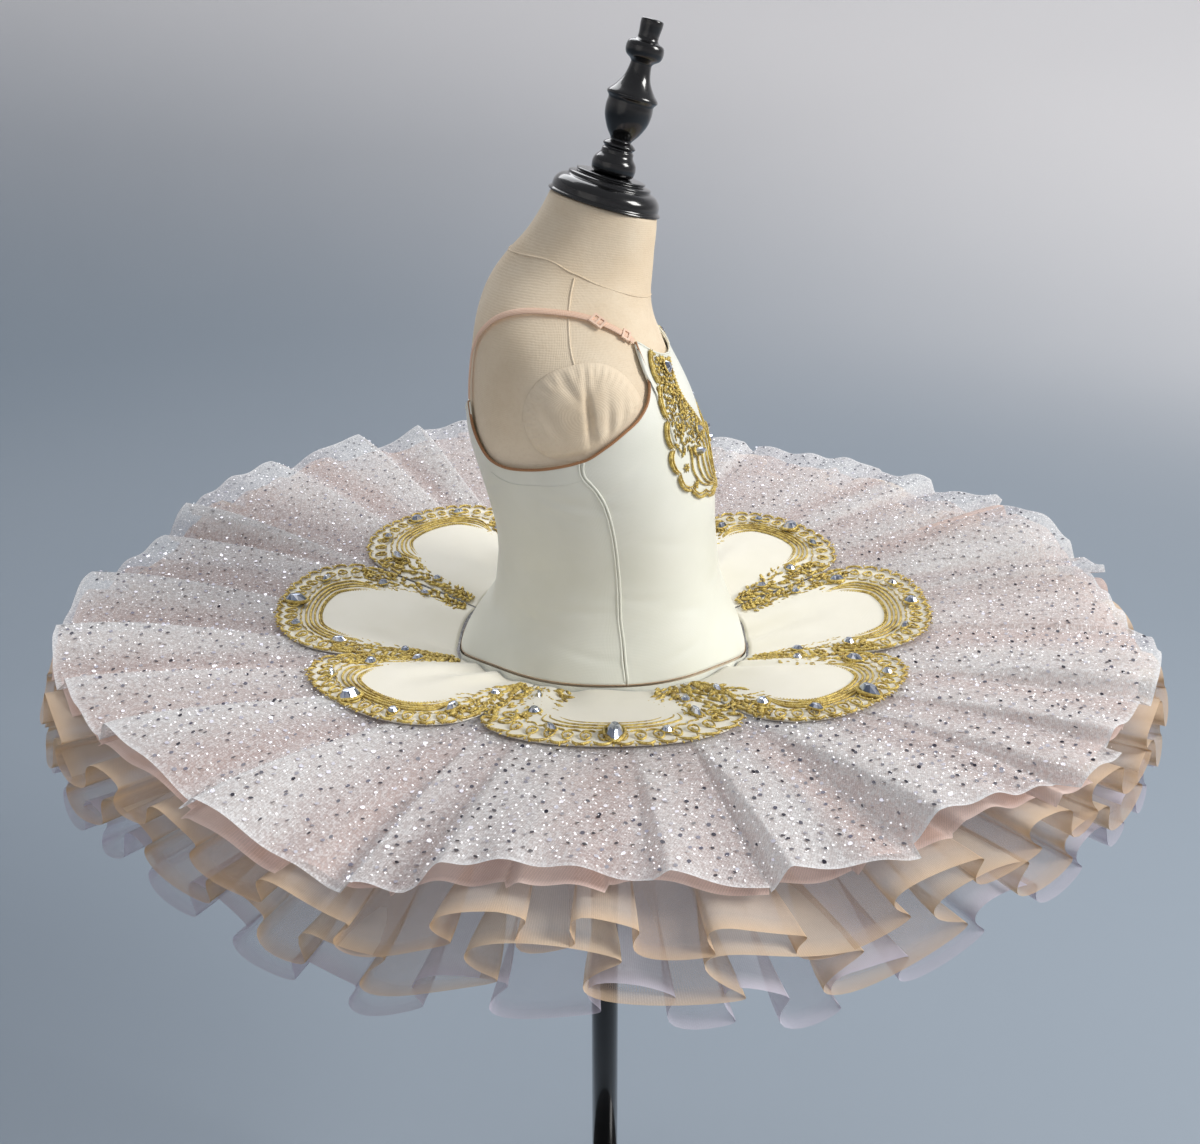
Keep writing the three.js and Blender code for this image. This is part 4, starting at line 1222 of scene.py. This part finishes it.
# %% [markdown]
# ## Lace borders of the petals
# A border runs from a point at the hip, up one valley, round the tip and back. Its place is given by
# how far along it is, from -1 to 1, and how far across, from the opening to the scalloped edge.
# Smooth cords ring the opening, drop-shaped loops and scallops fan round the tip, and flowers and
# leaves crowd together down the valleys.

# %% Petal lace
BORDER = table(
    "along outer_across outer_out inner_across inner_out",
    (0, 0, 1.0, 0, 0.78), (0.10, 0.2, 1.0, 0.15, 0.775), (0.25, 0.5, 1.0, 0.36, 0.75),
    (0.40, 0.78, 1.0, 0.50, 0.67), (0.52, 0.95, 0.99, 0.56, 0.58), (0.68, 0.985, 0.74, 0.58, 0.46),
    (0.85, 0.985, 0.4, 0.68, 0.27), (1.0, 0.985, 0.06, 0.86, 0.04),
)
LACE_LIFT = PETAL_TOP + 0.3


def border_surface(petal):
    """The border as a surface of along, across and out."""
    def surface(along, share, out):
        side, place = np.sign(along), np.abs(along)
        values = {k: from_table(BORDER, "along", k, place) for k in BORDER if k != "along"}
        across = side * mix(values["inner_across"] * petal["opening"], values["outer_across"], share)
        reach = mix(values["inner_out"] * (0.3 + 0.7 * petal["opening"]), values["outer_out"], share)
        return petal_point(petal, across, reach, LACE_LIFT + out)
    return surface


def even_places(surface, first, last, spacing):
    """Places along the middle of a band at even distances."""
    fine = np.linspace(first, last, 300)
    path = surface(fine, np.full(300, 0.5), np.zeros(300))
    length = np.concatenate([[0], np.cumsum(np.linalg.norm(np.diff(path, axis=0), axis=1))])
    count = max(int(round(length[-1] / spacing)), 2)
    return np.interp((np.arange(count) + 0.5) / count * length[-1], length, fine), count


def petal_lace(petal, seed):
    draw = np.random.default_rng(seed)
    surface = border_surface(petal)
    ring = np.linspace(-0.62, 0.62, 200)
    parts = [stroke(surface, ring, 0 * ring + 0.02, 1.5, 1.5)]
    tip = np.linspace(-0.6, 0.6, 170)
    narrow = 1 - smooth(np.abs(tip), 0.4, 0.6) * 0.6
    for share, width in ((0.13, 1.5), (0.23, 1.9), (0.34, 1.5)):
        parts.append(stroke(surface, tip, share * narrow, width, 1.5, 0.7))
    # scallops, each its own arc, and the loops inside them
    places, count = even_places(surface, -0.66, 0.66, 9.0)
    edges = np.interp(np.arange(count + 1) / count, (np.arange(count) + 0.5) / count, places)
    edges[0], edges[-1] = -0.66, 0.66
    arc = np.linspace(0, 1, 13)
    for first, last in zip(edges[:-1], edges[1:]):
        bow = np.sin(np.pi * arc)
        parts.append(stroke(surface, mix(first, last, arc), 0.86 + 0.17 * bow**0.7, 1.6, 1.8, 0.8))
        parts.append(stroke(surface, mix(first, last, arc), 0.50 - 0.05 * bow, 1.0, 1.2, 0.6))
    turned_out = np.pi / 2 * np.ones(count)
    parts.append(motif(LOOP, surface, places, np.full(count, 0.70), turned_out, (8.2, 6.0, 6.5), 0.8))
    parts.append(motif(LEAF, surface, places, np.full(count, 0.68), turned_out, (3.6, 1.5, 2.2), 0.6))
    # seeds along the opening and the edge
    seeds, n = even_places(surface, -0.6, 0.6, 2.3)
    parts.append(motif(LEAF, surface, seeds, np.full(n, -0.03), np.zeros(n), (2.2, 1.5, 2.2), 0.5))
    edge, n = even_places(surface, -0.68, 0.68, 3.0)
    parts.append(motif(LEAF, surface, edge, 1.04 + draw.uniform(-0.05, 0.05, n), np.pi / 2 + 0 * edge,
                       (3.0, 1.5, 2.0), 0.5))
    # leaves crowded down the valleys
    for side in (-1, 1):
        rows, n = even_places(surface, side * 0.52, side * 0.99, 3.6)
        for share in (0.12, 0.4, 0.66, 0.9):
            fade = 1 - smooth(np.abs(rows), 0.92, 1.0) * 0.3
            lean = side * (0.8 - 1.6 * share) + draw.uniform(-0.55, 0.55, n)
            sizes = np.stack([draw.uniform(6.0, 9.0, n) * fade, draw.uniform(2.6, 3.6, n) * fade,
                              np.full(n, 2.8)], -1)
            jitter = draw.uniform(-0.16, 0.14, n) - 0.22 * (share < 0.2) * draw.uniform(0, 1, n) ** 2
            parts.append(motif(LEAF, surface, rows, share + jitter, lean, sizes, 0.6))
        for place, size in ((0.57, 9.0), (0.69, 8.0), (0.82, 7.0), (0.92, 5.5)):
            parts.append(flower(surface, side * place, draw.uniform(0.3, 0.7), 6, size, draw.uniform(0, 1)))
    return joined(*parts)


def build_petal_lace():
    for number, (name, petal) in enumerate(PETALS.items()):
        points, faces = petal_lace(petal, 100 + number)
        piece = add_mesh(f"lace_{name}_cords", points, faces, "gold_lace", "gold_lace")
        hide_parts("lace_" + name)


build_petal_lace()
print("faces in each border:", [len(p.data.polygons) for p in made[-8:]])

# %% [markdown]
# ## Lace of the bodice
# From each strap a tapering piece of the same lace runs down to the centre front. Its outer edge is
# a row of scallops bound by a thick cord, its upper half is leaves and flowers, and its lower half is
# parallel arcs.

# %% Bodice lace
BODICE_LACE = table(
    "row inner inner_level outer outer_level",
    (0, 17, 168.5, 37, 178), (1, 22, 160, 38.5, 168), (2, 25, 151, 40, 158), (3, 24, 142, 42.5, 148),
    (4, 20, 134, 45, 138), (5, 15, 126, 46, 128), (6, 8, 118, 47, 119), (7, 1.4, 111, 47.5, 111),
    (8, 1, 98, 48, 103), (9, 1, 88, 40, 91), (10, 1, 80, 20, 82),
)
# Cusps of the scalloped edge, and how far the scallop below each one bulges.
CUSPS = table("turn level bulge", (37, 178, 4), (40, 158, 5), (45, 138, 5), (47, 120, 5.5), (48, 104, 5),
              (41, 92, 4.5), (29, 84, 4), (14, 80, 3), (1, 79, 0))
DEGREE = 1.5                   # millimetres round the chest for each degree


def bodice_lace_surface(mirror):
    def surface(row, share, out):
        values = {k: from_table(BODICE_LACE, "row", k, row) for k in BODICE_LACE if k != "row"}
        turn = mix(values["inner"], values["outer"], share)
        level = mix(values["inner_level"], values["outer_level"], share)
        return over_form(turn, level, BODICE_OUT + 0.35 + out) * (mirror, 1, 1)
    return surface


def bodice_scallops(mirror):
    """An arc outside the chord between each two cusps, as a thick cord and a thin one inside it."""
    def surface(turn, level, out):
        return over_form(turn, level, BODICE_OUT + 0.35 + out) * (mirror, 1, 1)
    share = np.linspace(0, 1, 24)
    turns, levels, bulges = (CUSPS[k] for k in CUSPS)
    parts = []
    for k in range(len(turns) - 1):
        chord = np.array([(turns[k + 1] - turns[k]) * DEGREE, levels[k + 1] - levels[k]])
        outward = np.array([-chord[1], chord[0]]) / np.hypot(*chord)
        for inside, width, height in ((0, 2.1, 2.6), (2.6, 1.1, 1.4)):
            shift = bulges[k] * np.sin(np.pi * share) ** 0.6 - inside
            turn = mix(turns[k], turns[k + 1], share) + outward[0] * shift / DEGREE
            level = mix(levels[k], levels[k + 1], share) + outward[1] * shift
            parts.append(stroke(surface, turn, level, width, height, 0.9))
    return parts


def bodice_lace(mirror, seed):
    draw = np.random.default_rng(seed)
    surface = bodice_lace_surface(mirror)
    rows = np.linspace(0.05, 9.95, 160)
    parts = [stroke(surface, rows, 0 * rows + 0.03, 1.4, 1.4, 0.6)]
    parts += bodice_scallops(mirror)
    low = np.linspace(6.3, 9.9, 60)
    for share in (0.22, 0.34, 0.46, 0.58, 0.70):
        bow = 0.07 * np.sin((low - 6.3) / 3.6 * np.pi)
        parts.append(stroke(surface, low, share + bow, 1.3, 1.5, 0.7))
    grid_row, grid_share = np.meshgrid(np.arange(0.3, 6.6, 0.31), np.arange(0.1, 0.95, 0.1), indexing="ij")
    n = grid_row.size
    row = grid_row.ravel() + draw.uniform(-0.12, 0.12, n)
    share = grid_share.ravel() + draw.uniform(-0.04, 0.04, n)
    sizes = np.stack([draw.uniform(3.6, 5.6, n), draw.uniform(1.6, 2.3, n), np.full(n, 2.2)], -1)
    parts.append(motif(LEAF, surface, row, share, draw.uniform(-1.5, 1.5, n), sizes, 0.6))
    for row, share, size in ((0.6, 0.5, 9), (2.2, 0.45, 7), (3.6, 0.35, 7), (4.7, 0.7, 7), (6.0, 0.3, 7),
                             (7.6, 0.86, 5), (8.8, 0.86, 5), (9.5, 0.12, 5)):
        parts.append(flower(surface, row, share, 6, size, row))
    seeds = np.arange(0.2, 9.9, 0.22)
    parts.append(motif(LEAF, surface, seeds, 0 * seeds - 0.02, np.zeros_like(seeds), (2.2, 1.6, 2.0), 0.5))
    return joined(*parts)


for side, mirror in SIDES:
    points, faces = bodice_lace(mirror, 61)
    if mirror < 0:
        faces = faces[:, ::-1]
    piece = add_mesh(f"bodice_lace_{side}_cords", points, faces, "gold_lace", "gold_lace")
    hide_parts("bodice_lace_" + side)
print("faces in each side:", [len(p.data.polygons) for p in made[-2:]])

# %% [markdown]
# ## Stones
# Foiled glass stones are cut with a flat table and a ring of facets. Each facet keeps its own points
# and its own tone, a painted glint that stands in for reflections, so that neighbours catch the light
# differently; a thin gold rim holds it.

# %% Stones
STONE_SHAPES = {"round": (1.0, 1.0, 0.0), "oval": (1.0, 0.68, 0.0), "navette": (1.0, 0.46, 1.0),
                "drop": (1.0, 0.62, 0.45)}
STONE_PLACES = table(
    "along share size",
    (-0.24, 0.62, 6.5), (0.28, 0.55, 9), (-0.56, 0.45, 11), (0.64, 0.4, 7.5), (-0.80, 0.5, 6),
    (0.86, 0.5, 8),
)
STONE_KINDS = ("round", "navette", "navette", "round", "round", "navette")
TIP_SIZES = {"round": 9.5, "navette": 16, "drop": 17, "oval": 14}
BODICE_STONES = (              # row, share, kind, size and heading
    (0.9, 0.45, "oval", 8.5, 0.2), (5.4, 0.3, "oval", 7, 0.3), (6.9, 0.62, "navette", 12, 0.9),
    (7.2, 0.1, "round", 6, 0),
)


def stone_template(kind):
    """Facets as separate triangles: a girdle of ten, a table of ten, and a shallow back."""
    length, width, point = STONE_SHAPES[kind]
    angle = np.arange(10) * 2 * np.pi / 10
    x, y = 0.5 * np.cos(angle), 0.5 * np.sin(angle)
    narrow = 1 - point * np.abs(np.cos(angle)) ** 3 * (0.55 if kind == "navette" else np.cos(angle) > 0)
    girdle = np.stack([x * length, y * width * narrow, 0 * x], -1)
    crown = girdle * 0.56 + (0, 0, 0.26)
    back = girdle * 0.9 - (0, 0, 0.16)
    k, n = np.arange(10), (np.arange(10) + 1) % 10
    top, under = np.array([0, 0, 0.27]), np.array([0, 0, -0.16])
    triangles = np.concatenate([
        np.stack([girdle[k], girdle[n], crown[k]], 1), np.stack([girdle[n], crown[n], crown[k]], 1),
        np.stack([crown[k], crown[n], np.tile(top, (10, 1))], 1),
        np.stack([girdle[n], girdle[k], back[k]], 1), np.stack([girdle[n], back[k], back[n]], 1),
        np.stack([back[n], back[k], np.tile(under, (10, 1))], 1)])
    return triangles.reshape(-1, 3), np.arange(len(triangles) * 3).reshape(-1, 3)


def set_stones(jobs, seed):
    """A job is a surface, two places on it, a kind, a size and a heading."""
    draw = np.random.default_rng(seed)
    glass, rims = [], []
    for surface, u, v, kind, size, heading in jobs:
        place, axes = frames_on(surface, np.array([u]), np.array([v]), np.array([heading]))
        scales = np.full((1, 3), float(size))
        glass.append(copies(*stone_template(kind), place + axes[:, 2] * (2.2 + 0.05 * size), axes, scales))
        _, width, point = STONE_SHAPES[kind]
        rims.append(copies(*LOOP, place + axes[:, 2] * 1.9, axes, scales * [[1.06, width * 1.12, 0.8]]))
    points, faces = joined(*glass)
    # A random brightness for each facet, dark grey-blue to white: painted glints.
    tone = np.repeat(draw.uniform(0, 1, len(points) // 3) ** 1.3, 3)
    add_mesh("stones", points, faces, "stone", "clear_slider", marks={"tone": tone}, flat=True)
    add_mesh("stone_rims", *joined(*rims), "gold_lace", "gold_lace")


def stone_jobs():
    jobs = []
    draw = np.random.default_rng(17)
    for name, petal in PETALS.items():
        surface = border_surface(petal)
        jobs.append((surface, 0.0, 0.66, petal["stone"], TIP_SIZES[petal["stone"]], np.pi / 2))
        for kind, along, share, size in zip(STONE_KINDS, *(STONE_PLACES[k] for k in STONE_PLACES)):
            shift = draw.uniform(-0.03, 0.03)
            jobs.append((surface, along + shift, share, kind, size, draw.uniform(-0.5, 0.5)))
    for mirror in (1, -1):
        jobs += [(bodice_lace_surface(mirror), *stone) for stone in BODICE_STONES]
    return jobs


jobs = stone_jobs()
set_stones(jobs, 5)
print(len(jobs), "stones")

# %% [markdown]
# ## Sequins and glitter
# Foil sequins are scattered over the glitter net in loose rings, about ten millimetres apart, and
# between them lie specks of glitter. Each is a flat disc of a few points, tipped a little its own way.

# %% Sequins


def net_surface(turn, reach, out):
    return upper_point(UPPER["glitter"], turn, reach, out)


def scatter(spacing, first, last, seed):
    """Jittered places on rings from the first to the last radius, clear of the petals."""
    draw = np.random.default_rng(seed)
    turns, radii = [], []
    for radius in np.arange(first, last, spacing):
        count = int(2 * np.pi * radius / spacing)
        even = np.arange(count) + draw.uniform(0, 1)
        turns.append((even + draw.uniform(-0.42, 0.42, count)) * 360 / count)
        radii.append(radius + draw.uniform(-0.45, 0.45, count) * spacing)
    turn, radius = np.concatenate(turns) % 360, np.concatenate(radii)
    clear = np.ones(len(turn), bool)
    for petal in PETALS.values():
        across = turn_apart(turn, petal["turn"]) / petal["half"]
        clear &= (np.abs(across) > 1) | (radius > lobe_radius(petal, np.clip(across, -1, 1)) + 4)
    reach = (radius - HIP_RADIUS) / (SKIRT_RADIUS - HIP_RADIUS)
    clear &= reach < 0.985
    return turn[clear], reach[clear], draw


def discs(name, finish, spacing, first, last, sides, low, high, seed, tip):
    """Flat discs from low to high across, each tipped from the net by up to tip."""
    turn, reach, draw = scatter(spacing, first, last, seed)
    place, axes = frames_on(net_surface, turn, reach, draw.uniform(0, 6.3, len(turn)))
    lean = draw.uniform(-tip, tip, (len(turn), 2))
    out = unit(axes[:, 2] + axes[:, 0] * lean[:, :1] + axes[:, 1] * lean[:, 1:])
    along = unit(axes[:, 0] - (axes[:, 0] * out).sum(-1, keepdims=True) * out)
    turns = np.stack([along, np.cross(out, along), out], 1)
    angle = np.arange(sides) * 2 * np.pi / sides
    template = np.stack([0.5 * np.cos(angle), 0.5 * np.sin(angle), 0 * angle], -1)
    sizes = np.repeat(draw.uniform(low, high, (len(turn), 1)), 3, 1)
    points, faces = copies(template, np.arange(sides)[None], place + out * 0.7, turns, sizes)
    # A random tone for each disc, mostly dark: partly the foil's own colour, partly painted glints.
    tone = np.repeat(draw.uniform(0, 1, len(turn)) ** 1.8, sides)
    add_mesh(name, points, faces, finish, "tulle_glitter", marks={"tone": tone}, flat=True)
    return len(turn)


count = discs("sequins", "sequin", spacing=9.5, first=172, last=SKIRT_RADIUS, sides=7,
              low=2.0, high=2.7, seed=11, tip=0.35)
# The specks glow: painted glints.
specks = discs("glitter_specks", "glowing_glitter", spacing=5.4, first=176, last=SKIRT_RADIUS, sides=5,
               low=0.5, high=1.3, seed=12, tip=0.6)
print(count, "sequins and", specks, "specks")

# %% [markdown]
# ## Studio
# A grey floor that curves up into a wall all round gives a quiet background from every side. A large
# soft lamp lights the garment from its front and above, one stands behind it, one brightens the wall,
# and a weak one fills the shade.
# The wall's colour is painted paler towards its top and the garment's front, as if lit more there.

# %% Floor and lamps


def build_studio():
    f = Finish("floor", Roughness=0.9)
    _, across, up = f.split(f.place())
    # painted light: the wall's colour grows paler with height and towards the garment's front
    painted_light = 0.08 + up * 0.7 - across * up.step(0, 0.3) * 0.15 + 0.05 * f.noise(f.place(), 0.8)
    f.set(Base_Color=f.blend(painted_light.step(0, 1), srgb(144, 156, 168), srgb(246, 244, 244)))
    angle = np.linspace(0, 2 * np.pi, 64, endpoint=False)[:, None]
    flat, curve = 1600.0, 3200.0
    bend = np.linspace(0, np.pi / 2, 24)
    r = np.concatenate([[0, 800], flat + curve * np.sin(bend), [flat + curve]])[None, :]
    z = np.concatenate([[0, 0], curve * (1 - np.cos(bend)), [3800]])[None, :] - RIM_HEIGHT
    points = np.stack([r * np.cos(angle), r * np.sin(angle), z + 0 * angle], -1)
    mesh = bpy.data.meshes.new("floor")
    mesh.from_pydata(((points.reshape(-1, 3) + (0, 0, RIM_HEIGHT)) * MM).tolist(), [],
                     grid_faces(*points.shape[:2], wrap=True).tolist())
    mesh.materials.append(finishes["floor"])
    mesh.shade_smooth()
    floor = bpy.data.objects.new("floor", mesh)
    bpy.context.scene.collection.objects.link(floor)


def lamp(name, place, aim, size, power, colour=(1, 1, 1)):
    data = bpy.data.lights.new(name, "AREA")
    data.size, data.energy, data.color = size, power, colour
    light = bpy.data.objects.new(name, data)
    light.location = place
    light.rotation_euler = (Vector(aim) - Vector(place)).to_track_quat("-Z", "Y").to_euler()
    bpy.context.scene.collection.objects.link(light)


build_studio()
lamp("key", (-0.5, -2.3, 2.1), (0, 0, 0.8), 1.0, 62, (1.0, 0.985, 0.96))
lamp("back", (1.5, 0.3, 2.5), (0, 0, 0.75), 1.6, 24, (0.97, 0.98, 1.0))
lamp("wall", (2.2, -1.6, 3.2), (4.2, -2.0, 1.1), 1.5, 15)
lamp("fill", (-1.7, 1.3, 1.5), (0, 0, 0.75), 1.6, 3, (1.0, 0.95, 0.88))
world = bpy.data.worlds.new("studio")
world.use_nodes = True
world.node_tree.nodes["Background"].inputs["Color"].default_value = srgb(208, 210, 216)
world.node_tree.nodes["Background"].inputs["Strength"].default_value = 0.55
bpy.context.scene.world = world
